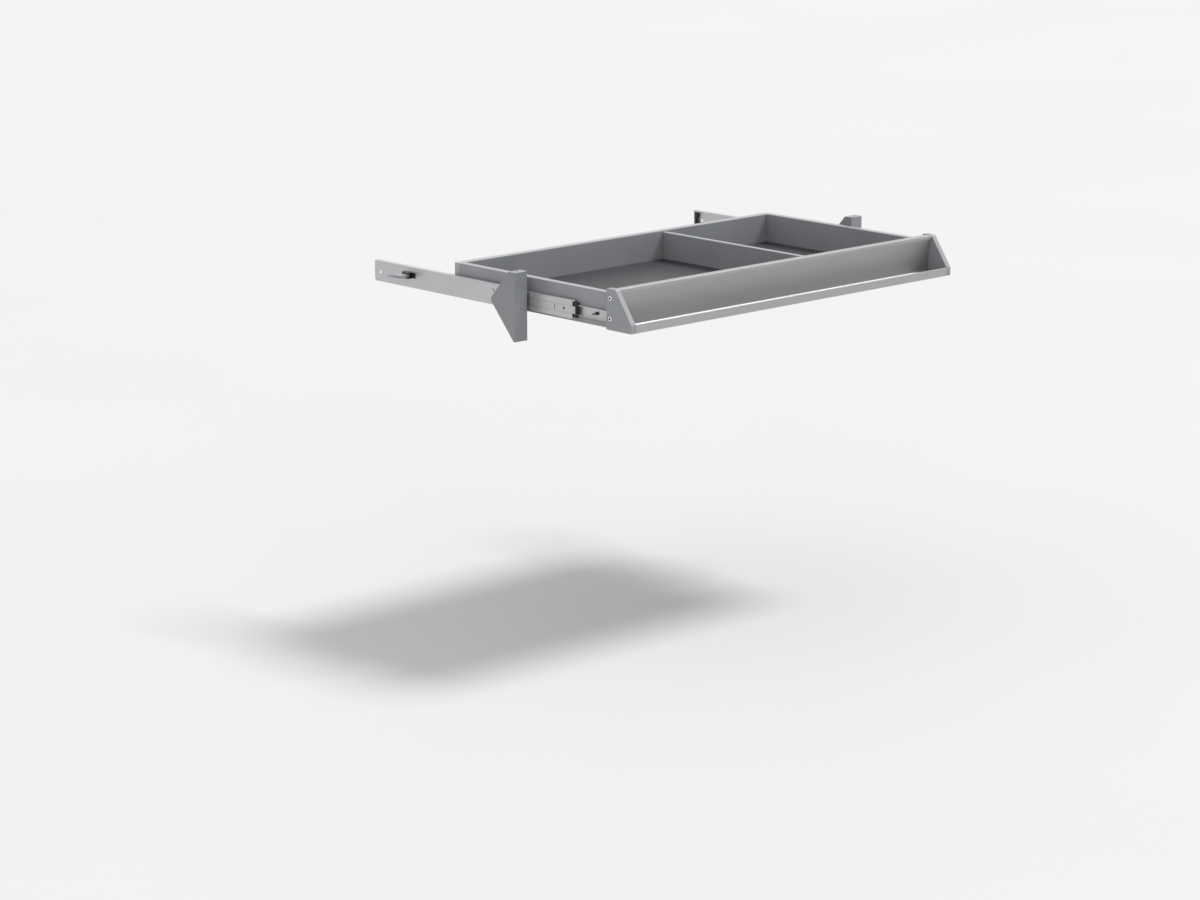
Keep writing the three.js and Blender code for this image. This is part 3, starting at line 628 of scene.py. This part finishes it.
def side_wall(side):
    low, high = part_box("right_side_wall")
    floor_low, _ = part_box("drawer_floor")
    _, back_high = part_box("back_wall")
    outer = high.x
    inner = back_high.x
    ledge = floor_low.z - GAP
    corners = [
        (outer, low.z),
        (outer, high.z, FOLD),
        (inner, high.z, FOLD),
        (inner, ledge),
        (low.x, ledge),
        (low.x, ledge - SHEET),
        (inner + SHEET, ledge - SHEET),
        (inner + SHEET, high.z - SHEET, INNER_FOLD),
        (outer - SHEET, high.z - SHEET, INNER_FOLD),
        (outer - SHEET, low.z),
    ]
    piece = run("side_wall", rounded(corners, FOLD_STEPS), Y, low.y, high.y, 0.15 * MM, 2)
    bore = [(RAIL_SCREW_HOLE, outer - 2 * SHEET), (RAIL_SCREW_HOLE, outer + SHEET)]
    cut(piece, *[turned("hole", X, middle_of(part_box(node), Y, Z), bore) for node in RAIL_SCREW_NODES])
    add(f"{side}_side_wall", piece, "drawer", "grey_steel", GREY_STEEL, side=side)


def back_wall():
    low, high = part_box("back_wall")
    section = folded_wall(low.y, high.y, low.z, high.z)
    piece = run("back_wall", section, X, low.x, high.x, 0.1 * MM, 2)
    add("back_wall", piece, "drawer", "grey_steel", GREY_STEEL)


def divider():
    low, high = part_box("divider")
    section = folded_wall(low.x, high.x, low.z, high.z)
    piece = run("divider", section, Y, low.y, high.y, 0.1 * MM, 2)
    add("divider", piece, "drawer", "grey_steel", GREY_STEEL)


def drawer_floor():
    low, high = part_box("drawer_floor")
    outline = box_outline(low.x, high.x, low.y, high.y, 0.4 * MM)
    piece = run("drawer_floor", outline, Z, low.z, high.z, 0.25 * MM)
    add("drawer_floor", piece, "drawer", "dark_board", SHADE_DARKENED_BOARD)


def rear_corner(side):
    low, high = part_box("right_rear_corner")
    back_low, back_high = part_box("back_wall")
    inner, front = back_high.x + GAP, back_low.y
    plan = rounded([(inner, front), (high.x, front), (high.x, high.y, 3 * MM), (inner, high.y)], 10)
    piece = run("rear_corner", plan, Z, low.z, high.z, 0.6 * MM, 4)
    sheet = SHEET + GAP
    top = high.z - SHEET - 0.8 * MM
    side_plug = box_outline(inner - GAP + sheet, high.x - sheet, low.y, front + MM, MM)
    back_plug = box_outline(low.x, inner + MM, front + sheet, high.y - sheet, MM)
    joined(
        piece,
        run("plug", side_plug, Z, low.z + 3 * MM, top, 0.5 * MM),
        run("plug", back_plug, Z, low.z + 3.1 * MM, top - 0.1 * MM, 0.5 * MM),
    )
    add(f"{side}_rear_corner", piece, "drawer", "light_plastic", LIGHT_PLASTIC, side=side)


def front_connector(side):
    """A ribbed plug inside the front end of the side wall."""
    low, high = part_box("right_front_connector")
    pitch = (high.y - low.y) / CONNECTOR_RIBS
    groove_depth, groove_width = CONNECTOR_GROOVE
    inner_edge, outer_edge = [], []
    for i in range(CONNECTOR_RIBS):
        start, end = low.y + i * pitch, low.y + (i + 1) * pitch
        for edge, x, depth in ((inner_edge, low.x, groove_depth), (outer_edge, high.x, -groove_depth)):
            edge += [(x, start), (x, end - groove_width)]
            if i < CONNECTOR_RIBS - 1:
                edge += [(x + depth, end - groove_width), (x + depth, end)]
            else:
                edge += [(x, end)]
    plan = rounded(inner_edge + outer_edge[::-1])
    piece = run("front_connector", plan, Z, low.z, high.z, 0.2 * MM, 2)
    add(f"{side}_front_connector", piece, "drawer", "grey_plastic", GREY_PLASTIC, side=side)


# ---- Slides ----------------------------------------------------------------------------------------


RAIL_SCREW_SHANK = 1.6 * MM
RAIL_SCREW_HEAD_HEIGHT = 2 * MM
RAIL_SCREW_SOCKET = (1.3 * MM, 1.2 * MM)  # radius and depth
DRAWER_RAIL_SLOTS = (0.27, 0.45, 0.62, 0.93)  # places along the rail, as shares of its length
MIDDLE_RAIL_SLOTS = (0.42, 0.66, 0.88)
TAB_BORE = 1.3 * MM
TONGUE_LENGTH = 6 * MM  # the middle rail's flanges start this far behind its web's front end
TONGUE_HALF_HEIGHT = 6  # millimetres, as slide_point() takes them
NOSE_GROOVES = 3
OUTER_RAIL_HOLES = ((48, 7.2), (335, -0.8))  # millimetres behind the rail's front end, and over its middle
OUTER_RAIL_HOLE = 2.4 * MM
BRACKET_SCREW_HOLE = 2.3 * MM
BRACKET_SCREW_NODES = ("right_bracket_screw_lower", "right_bracket_screw_upper")
BALLS_PER_ROW = 10
# strip is (u0, u1), arm is (u0, w0, w1) and ball is (u, w, radius), all in millimetres as slide_point()
# takes them. carries is the rear length of the strip that holds the balls.
INNER_CAGE = {
    "strip": (6.8, 7.5),
    "arm": (3.6, 9.8, 10.5),
    "ball": (4.6, 10.15, 1.6),
    "carries": 150 * MM,
}
OUTER_CAGE = {
    "strip": (10.5, 11.2),
    "arm": (6.4, 15.1, 15.9),
    "ball": (7.2, 14.7, 1.3),
    "carries": 160 * MM,
}


def slide_point(u, w):
    """The X and Z of a point of the right-hand slide. u is measured in millimetres outwards from the side
    wall, and w upwards from the slide's middle height."""
    _, wall_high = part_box("right_side_wall")
    rail_low, rail_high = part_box("right_outer_rail")
    return wall_high.x + u * MM, (rail_low.z + rail_high.z) / 2 + w * MM


def slide_section(upper_half, steps=5):
    """A section that is the same above and below the slide's middle, from (u, w) or (u, w, radius)."""
    lower_half = [(u, -w, *radius) for u, w, *radius in reversed(upper_half)]
    corners = [
        (*slide_point(u, w), *[r * MM for r in radius]) for u, w, *radius in [*upper_half, *lower_half]
    ]
    return rounded(corners, steps)


def span(u0, u1):
    """The X of two distances from the side wall."""
    return slide_point(u0, 0)[0], slide_point(u1, 0)[0]


def drill(y, z, radius, u0, u1):
    """A round cutter along X."""
    x0, x1 = span(u0, u1)
    return turned("drill", X, (y, z), [(radius, x0), (radius, x1)], 28)


def punch(outline, u0, u1):
    """A cutter along X with the outline's shape."""
    return run("punch", outline, X, *span(u0, u1), 0)


def straight_slot(y, z, half_length, radius, count=10):
    """A slot's outline along Y."""
    points = []
    for i in range(count + 1):
        turn = -math.pi / 2 + math.pi * i / count
        points.append(Vector((y + half_length + radius * math.cos(turn), z + radius * math.sin(turn))))
    for i in range(count + 1):
        turn = math.pi / 2 + math.pi * i / count
        points.append(Vector((y - half_length + radius * math.cos(turn), z + radius * math.sin(turn))))
    return points


def drawer_rail(side):
    low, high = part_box("right_drawer_rail")
    section = slide_section(
        [(1.3, 5.2), (1.5, 5.6), (1.5, 6.6, 0.3), (1.7, 7.25), (6.2, 7.25), (6.2, 8.25), (0.3, 8.25, 0.8)]
    )
    piece = run("drawer_rail", section, Y, low.y, high.y, 0)
    _, middle = slide_point(0, 0)
    cutters = [drill(*middle_of(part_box(node), Y, Z), RAIL_SCREW_HOLE, -0.5, 2.2) for node in RAIL_SCREW_NODES]
    for share in DRAWER_RAIL_SLOTS:
        y = low.y + (high.y - low.y) * share
        cutters.append(punch(straight_slot(y, middle, 5 * MM, 2.1 * MM), -0.5, 2.2))
    cut(piece, *cutters)
    add(f"{side}_drawer_rail", piece, "drawer", "zinc_steel", ZINC, side=side)


def rail_screws(side):
    for end in ("front", "rear"):
        low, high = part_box(f"right_rail_screw_{end}")
        centre = middle_of((low, high), Y, Z)
        head = ((high.z - low.z) / 2, RAIL_SCREW_HEAD_HEIGHT)
        piece = socket_screw(centre, high.x, head, (RAIL_SCREW_SHANK, low.x), RAIL_SCREW_SOCKET)
        add_screw(f"{side}_rail_screw_{end}", piece, "drawer", side)


def disconnect_tab(side):
    low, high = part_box("right_disconnect_tab")
    pivot_y, pivot_z = middle_of(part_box("right_tab_rivet"), Y, Z)
    front, rear, bottom, top = low.y, high.y, low.z, high.z
    corners = [
        (rear, bottom, 0.6 * MM),
        (rear, bottom + 1.7 * MM, 0.6 * MM),
        (pivot_y + 3.2 * MM, top - 2.3 * MM, 0.8 * MM),
        (pivot_y + 2.6 * MM, top, 1.2 * MM),
        (front, top, 2 * MM),
        (front, bottom + 1.3 * MM, 2 * MM),
        (pivot_y + 2.6 * MM, bottom + 1.3 * MM, 1 * MM),
    ]
    piece = run("tab", rounded(corners, 6), X, low.x, high.x, 0.2 * MM)
    cut(piece, drill(pivot_y, pivot_z, TAB_BORE, 1, 5))
    add(f"{side}_disconnect_tab", piece, f"{side}_tab", "black_plastic", BLACK, side=side)


def tab_rivet(side):
    low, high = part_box("right_tab_rivet")
    centre = middle_of((low, high), Y, Z)
    profile = [
        (1.1 * MM, low.x),
        (1.2 * MM, low.x + 0.1 * MM),
        (1.2 * MM, high.x - 0.7 * MM),
        (2.0 * MM, high.x - 0.7 * MM),
        (2.2 * MM, high.x - 0.45 * MM),
        (1.9 * MM, high.x - 0.15 * MM),
        (1.0 * MM, high.x),
        (0.5 * MM, high.x),
    ]
    piece = turned("rivet", X, centre, profile, 32)
    add(f"{side}_tab_rivet", piece, "drawer", "screw_steel", SOCKET_SHADE_AND_DARK_RIVET, side=side)


def bracket_slot(y, z, radius, width, half_angle):
    """A slot bent round like an opening bracket, as an outline in Y and Z."""
    steps = 14
    inner_radius = radius - width
    turns = [math.pi - half_angle + 2 * half_angle * i / steps for i in range(steps + 1)]
    outer = [Vector((y + radius * (1 + math.cos(t)), z + radius * math.sin(t))) for t in turns]
    inner = [Vector((y + radius + inner_radius * math.cos(t), z + inner_radius * math.sin(t))) for t in turns]
    return outer + inner[::-1]


def middle_rail(side):
    low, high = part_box("right_middle_rail")
    section = slide_section(
        [
            (9.9, 5.1, 0.2),
            (9.4, 5.4, 0.1),
            (9.4, 6.2, 0.1),
            (10.2, 6.5, 0.2),
            (10.2, 14.7, 0.7),
            (9, 14.7, 0.4),
            (8.6, 13.1, 0.6),
            (5.8, 13.1, 0.6),
            (5.2, 14.7, 0.5),
            (1.4, 14.7, 0.6),
            (1.4, 11.2),
            (2.4, 11.2),
            (2.4, 13.7, 0.3),
            (4.6, 13.7, 0.3),
            (5, 12.1, 0.4),
            (9.2, 12.1, 0.4),
            (9.2, 6.5, 0.1),
            (8.7, 6.1, 0.1),
        ]
    )
    piece = run("middle_rail", section, Y, low.y, high.y, 0)
    front = low.y + TONGUE_LENGTH
    _, middle = slide_point(0, 0)
    cutters = []
    for up in (-1, 1):
        edge, far = (slide_point(0, up * w)[1] for w in (TONGUE_HALF_HEIGHT, 20))
        trim = box_outline(low.y - MM, front, min(edge, far), max(edge, far))
        cutters.append(punch(trim, 0, 12))
    cutters.append(drill(front - 3 * MM, middle, 1.1 * MM, 7, 12))
    cutters.append(drill(front + 20 * MM, middle, 2.4 * MM, 7, 12))
    bent = bracket_slot(front + 40.6 * MM, middle, 6.5 * MM, 1.3 * MM, math.radians(42))
    cutters.append(punch(bent, 7, 12))
    for share in MIDDLE_RAIL_SLOTS:
        slot = straight_slot(low.y + (high.y - low.y) * share, middle, 6 * MM, 2.2 * MM)
        cutters.append(punch(slot, 7, 12))
    cut(piece, *cutters)
    add(f"{side}_middle_rail", piece, f"{side}_middle", "zinc_steel", ZINC, side=side)


def cage_nose(side):
    """Moulded end of the inner ball cage, ribbed on its outer face."""
    low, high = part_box("right_cage_nose")
    section = slide_section([(8.4, 5), (8.4, 11.8, 0.5), (2.7, 11.8, 0.4), (2.7, 8.6), (6.7, 8.6, 0.3)])
    piece = run("cage_nose", section, Y, low.y, high.y, 0.4 * MM)
    _, middle = slide_point(0, 0)
    grooves = []
    for i in range(NOSE_GROOVES):
        y = low.y + (2.5 + 3.5 * i) * MM
        outline = box_outline(y, y + 1.4 * MM, middle - 9 * MM, middle + 9 * MM, 0.5 * MM)
        grooves.append(punch(outline, 8.05, 9))
    cut(piece, *grooves)
    add(f"{side}_cage_nose", piece, f"{side}_inner_cage", "black_plastic", BLACK, side=side)


def balls(centres, radius):
    """Spheres in one mesh, each with a small flat at its two poles. The radius is in millimetres."""
    rings, sectors = 9, 16
    vertices, faces = [], []
    for centre in centres:
        base = len(vertices)
        for r in range(rings + 1):
            lift = math.pi * (0.02 + 0.96 * r / rings)
            for s in range(sectors):
                turn = 2 * math.pi * s / sectors
                across = math.sin(lift)
                away = Vector((across * math.cos(turn), across * math.sin(turn), math.cos(lift)))
                vertices.append(centre + away * radius * MM)
        for r in range(rings):
            for s in range(sectors):
                t = (s + 1) % sectors
                row, above = base + r * sectors, base + (r + 1) * sectors
                faces.append([row + s, row + t, above + t, above + s])
        faces.append([base + s for s in range(sectors)])
        faces.append([base + rings * sectors + s for s in range(sectors)])
    return mesh_object("balls", vertices, faces)


def ball_cage(side, node, body, strip, arm, ball, carries):
    """A pressed strip with an arm along each edge, and its two rows of balls."""
    low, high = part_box(f"right_{node}")
    section = slide_section(
        [(strip[0], arm[1], 0.2), (arm[0], arm[1]), (arm[0], arm[2]), (strip[1], arm[2], 0.6)], 4
    )
    piece = run("cage", section, Y, low.y, high.y, 0.1 * MM, 2)
    centres = []
    for up in (-1, 1):
        x, z = slide_point(ball[0], up * ball[1])
        for i in range(BALLS_PER_ROW):
            y = high.y - carries + carries * (i + 0.5) / BALLS_PER_ROW
            centres.append(Vector((x, y, z)))
    joined(piece, balls(centres, ball[2]))
    add(f"{side}_{node}", piece, body, "ball_steel", BALLS, side=side)


def outer_rail(side):
    low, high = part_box("right_outer_rail")
    section = slide_section(
        [
            (12.7, 12.6, 0.6),
            (12.45, 13.2, 0.4),
            (12.7, 13.9, 0.4),
            (12.7, 17.5, 1.2),
            (4.2, 17.5, 0.8),
            (4.2, 15),
            (5.4, 15),
            (5.4, 16.3, 0.3),
            (11.5, 16.3, 0.6),
        ]
    )
    piece = run("outer_rail", section, Y, low.y, high.y, 0)
    corners = [
        (low.y, low.z - MM),
        (high.y, low.z - MM, 8 * MM),
        (high.y, high.z + MM, 3.5 * MM),
        (low.y, high.z + MM),
    ]
    combined(piece, [punch(rounded(corners, 8), 0, 14)], "INTERSECT")
    housing_low, housing_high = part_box("right_lever_housing")
    z0, z1 = housing_low.z - GAP, housing_high.z + GAP
    window = box_outline(housing_low.y - GAP, housing_high.y + GAP, z0, z1, 2 * MM)
    _, middle = slide_point(0, 0)
    cutters = [punch(window, 10, 14)]
    for from_front, w in OUTER_RAIL_HOLES:
        cutters.append(drill(low.y + from_front * MM, middle + w * MM, OUTER_RAIL_HOLE, 10, 14))
    for node in BRACKET_SCREW_NODES:
        cutters.append(drill(*middle_of(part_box(node), Y, Z), BRACKET_SCREW_HOLE, 10, 14))
    cut(piece, *cutters)
    add(f"{side}_outer_rail", piece, "mounting", "zinc_steel", ZINC, side=side)


def rear_stop(side):
    low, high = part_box("right_rear_stop")
    corners = [
        (low.y, low.z, 0.8 * MM),
        (high.y, low.z, 4 * MM),
        (high.y, high.z, 1.5 * MM),
        (low.y, high.z, 0.8 * MM),
    ]
    piece = run("rear_stop", rounded(corners, 6), X, low.x, high.x, 0.4 * MM)
    _, middle = slide_point(0, 0)
    notch = box_outline(low.y - MM, low.y + 2 * MM, middle - 5 * MM, middle + 5 * MM, 0.8 * MM)
    cut(piece, run("notch", notch, X, low.x - MM, high.x + MM, 0))
    add(f"{side}_rear_stop", piece, "mounting", "black_plastic", BLACK, side=side)


# ---- Hanger bracket --------------------------------------------------------------------------------

BRACKET_SHEET = 2 * MM
BRACKET_TOP_DEPTH = 16 * MM
BRACKET_NOSE = (60.5 * MM, -50 * MM)  # behind the front face, and under the top
BRACKET_FOOT_DEPTH = 4 * MM
DESK_HOLE_SETBACK = 9 * MM  # from the front face
DESK_HOLE_RADIUS = 2.6 * MM
BRACKET_SCREW_SHANK = 2 * MM
BRACKET_SCREW_HEAD_HEIGHT = 2.2 * MM
BRACKET_SCREW_SOCKET = (1.5 * MM, 1.3 * MM)  # radius and depth


def hanger_bracket(side):
    low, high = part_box("right_hanger_bracket")
    outline = rounded(
        [
            (low.y, high.z),
            (low.y, low.z),
            (low.y + BRACKET_FOOT_DEPTH, low.z, 0.8 * MM),
            (low.y + BRACKET_NOSE[0], high.z + BRACKET_NOSE[1], 5 * MM),
            (low.y + BRACKET_TOP_DEPTH, high.z),
        ],
        8,
    )
    piece = run("bracket", outline, X, low.x, high.x, 0)
    under_top = high.z - BRACKET_SHEET
    hollow = [
        (low.y + BRACKET_SHEET, under_top),
        (low.y + BRACKET_SHEET, low.z - MM),
        (high.y + MM, low.z - MM),
        (high.y + MM, under_top),
    ]
    inside = run("inside", rounded(hollow), X, low.x + BRACKET_SHEET, high.x - BRACKET_SHEET, 0)
    softened(cut(piece, inside), 0.7 * MM, 4)
    centre = ((low.x + high.x) / 2, low.y + DESK_HOLE_SETBACK)
    desk_hole = [(DESK_HOLE_RADIUS, under_top - BRACKET_SHEET), (DESK_HOLE_RADIUS, high.z + MM)]
    screw_hole = [(BRACKET_SCREW_HOLE, low.x - MM), (BRACKET_SCREW_HOLE, low.x + 2 * BRACKET_SHEET)]
    cutters = [turned("hole", Z, centre, desk_hole)]
    for node in BRACKET_SCREW_NODES:
        cutters.append(turned("hole", X, middle_of(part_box(node), Y, Z), screw_hole))
    cut(piece, *cutters)
    add(f"{side}_hanger_bracket", piece, "mounting", "bracket_steel", BRACKET_STEEL, side=side)


def bracket_screws(side):
    for end in ("lower", "upper"):
        low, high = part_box(f"right_bracket_screw_{end}")
        centre = middle_of((low, high), Y, Z)
        head = ((high.z - low.z) / 2, BRACKET_SCREW_HEAD_HEIGHT)
        piece = socket_screw(centre, high.x, head, (BRACKET_SCREW_SHANK, low.x), BRACKET_SCREW_SOCKET)
        add_screw(f"{side}_bracket_screw_{end}", piece, "mounting", side)


# ---- Release lever ---------------------------------------------------------------------------------

HOUSING_HALF_LENGTH = 8.5 * MM
HOUSING_PLATE = 0.8 * MM
HOUSING_WALL = 1.6 * MM
HOUSING_EAR = 2 * MM
LEVER_BORE = 1.35 * MM
LEVER_TAB_THICKNESS = 2.4 * MM
LEVER_GRIPS = 4


def lever_housing(side):
    low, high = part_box("right_lever_housing")
    pivot = middle_of(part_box("right_lever_pin"), X, Y)
    front, back = pivot[1] - HOUSING_HALF_LENGTH, pivot[1] + HOUSING_HALF_LENGTH
    plan = rounded([(low.x, front), (high.x, front, 2.5 * MM), (high.x, back, 2.5 * MM), (low.x, back)], 6)
    piece = run("housing", plan, Z, low.z, high.z, 0.35 * MM)
    # The housing is a real part. Its black colour, and the plate that fills the rail's whole window behind the
    # lever, are painted shade for the dark gap round the lever.
    plate = box_outline(low.y, high.y, low.z, high.z, 2 * MM)
    joined(piece, run("plate", plate, X, low.x, low.x + HOUSING_PLATE, 0.15 * MM))
    slot = box_outline(front - MM, back + MM, low.z + HOUSING_EAR, high.z - HOUSING_EAR)
    bore = turned("bore", Z, pivot, [(LEVER_BORE, low.z - MM), (LEVER_BORE, high.z + MM)])
    cut(piece, run("slot", slot, X, low.x + HOUSING_WALL, high.x + MM, 0), bore)
    add(f"{side}_lever_housing", piece, "mounting", "black_plastic", BLACK, side=side)


def lever_pin(side):
    low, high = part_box("right_lever_pin")
    centre = middle_of((low, high), X, Y)
    radius = (high.x - low.x) / 2
    profile = [
        (radius * 0.7, low.z),
        (radius, low.z + 0.3 * MM),
        (radius, high.z - 0.3 * MM),
        (radius * 0.7, high.z),
    ]
    piece = turned("pin", Z, centre, profile, 28)
    add(f"{side}_lever_pin", piece, "mounting", "screw_steel", SCREW, side=side)


def release_lever(side):
    low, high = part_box("right_release_lever")
    x, y = middle_of(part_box("right_lever_pin"), X, Y)
    reach = high.x - x
    plan = rounded(
        [
            (x - 3.2 * MM, y - 5.5 * MM, 2.5 * MM),
            (x + reach, y - 8 * MM, 1.5 * MM),
            (x + reach, y + 25 * MM, 2 * MM),
            (x + 10 * MM, y + 25 * MM, 2 * MM),
            (x + 9 * MM, y + 7 * MM, 2 * MM),
            (x - 3.2 * MM, y + 5.5 * MM, 2.5 * MM),
        ],
        8,
    )
    piece = run("lever", plan, Z, low.z, high.z, 0.5 * MM, 4)
    tab_top = high.z - LEVER_TAB_THICKNESS
    above = box_outline(x + 5 * MM, x + reach + MM, y + 9 * MM, y + 26 * MM, 0.8 * MM)
    cutters = [
        run("above", above, Z, tab_top, high.z + MM, 0),
        turned("bore", Z, (x, y), [(LEVER_BORE, low.z - MM), (LEVER_BORE, high.z + MM)]),
    ]
    for i in range(LEVER_GRIPS):
        start = y + (12 + 3 * i) * MM
        groove = box_outline(x + 11 * MM, x + reach - 1.5 * MM, start, start + 1 * MM, 0.3 * MM)
        cutters.append(run("grip", groove, Z, tab_top - 0.3 * MM, tab_top + MM, 0))
    cut(piece, *cutters)
    add(f"{side}_release_lever", piece, f"{side}_lever", "grey_plastic", GREY_PLASTIC, side=side)


# ---- Everything ------------------------------------------------------------------------------------

front_profile()
back_wall()
divider()
drawer_floor()
for side in SIDES:
    end_cap(side)
    cap_screws(side)
    side_wall(side)
    rear_corner(side)
    front_connector(side)
    drawer_rail(side)
    rail_screws(side)
    disconnect_tab(side)
    tab_rivet(side)
    middle_rail(side)
    cage_nose(side)
    ball_cage(side, "inner_ball_cage", f"{side}_inner_cage", **INNER_CAGE)
    ball_cage(side, "outer_ball_cage", f"{side}_outer_cage", **OUTER_CAGE)
    outer_rail(side)
    rear_stop(side)
    hanger_bracket(side)
    bracket_screws(side)
    lever_housing(side)
    lever_pin(side)
    release_lever(side)


def studio():
    """A pale floor under an even sky, with a soft key light from above and the right."""
    scene = bpy.context.scene
    corners = box_outline(-FLOOR_SIZE, FLOOR_SIZE, -FLOOR_SIZE, FLOOR_SIZE)
    floor = mesh_object("studio_floor", [(p.x, p.y, -FLOOR_DEPTH) for p in corners], [[0, 1, 2, 3]])
    floor.data.materials.append(studio_floor())
    world = bpy.data.worlds.new("studio")
    world.use_nodes = True
    world.node_tree.nodes["Background"].inputs["Color"].default_value = (1.0, 1.0, 1.0, 1.0)
    world.node_tree.nodes["Background"].inputs["Strength"].default_value = SKY_STRENGTH
    scene.world = world
    key = bpy.data.lights.new("key", "SUN")
    key.energy = KEY_STRENGTH
    key.angle = KEY_ANGLE
    lamp = bpy.data.objects.new("key", key)
    lamp.rotation_mode = "QUATERNION"
    lamp.rotation_quaternion = Vector(KEY_DIRECTION).to_track_quat("Z", "Y")
    scene.collection.objects.link(lamp)
    scene.view_settings.view_transform = "Standard"


def photograph_camera():
    scene = bpy.context.scene
    lens = bpy.data.cameras.new("camera")
    lens.sensor_width = 36
    lens.lens = CAMERA_LENS
    lens.clip_start = 0.1
    lens.clip_end = 200
    camera = bpy.data.objects.new("camera", lens)
    camera.location = CAMERA_PLACE
    back = Vector(
        (
            math.sin(CAMERA_AZIMUTH) * math.cos(CAMERA_ELEVATION),
            -math.cos(CAMERA_AZIMUTH) * math.cos(CAMERA_ELEVATION),
            math.sin(CAMERA_ELEVATION),
        )
    )
    camera.rotation_mode = "QUATERNION"
    camera.rotation_quaternion = (-back).to_track_quat("-Z", "Y")
    scene.collection.objects.link(camera)
    scene.camera = camera


studio()
photograph_camera()
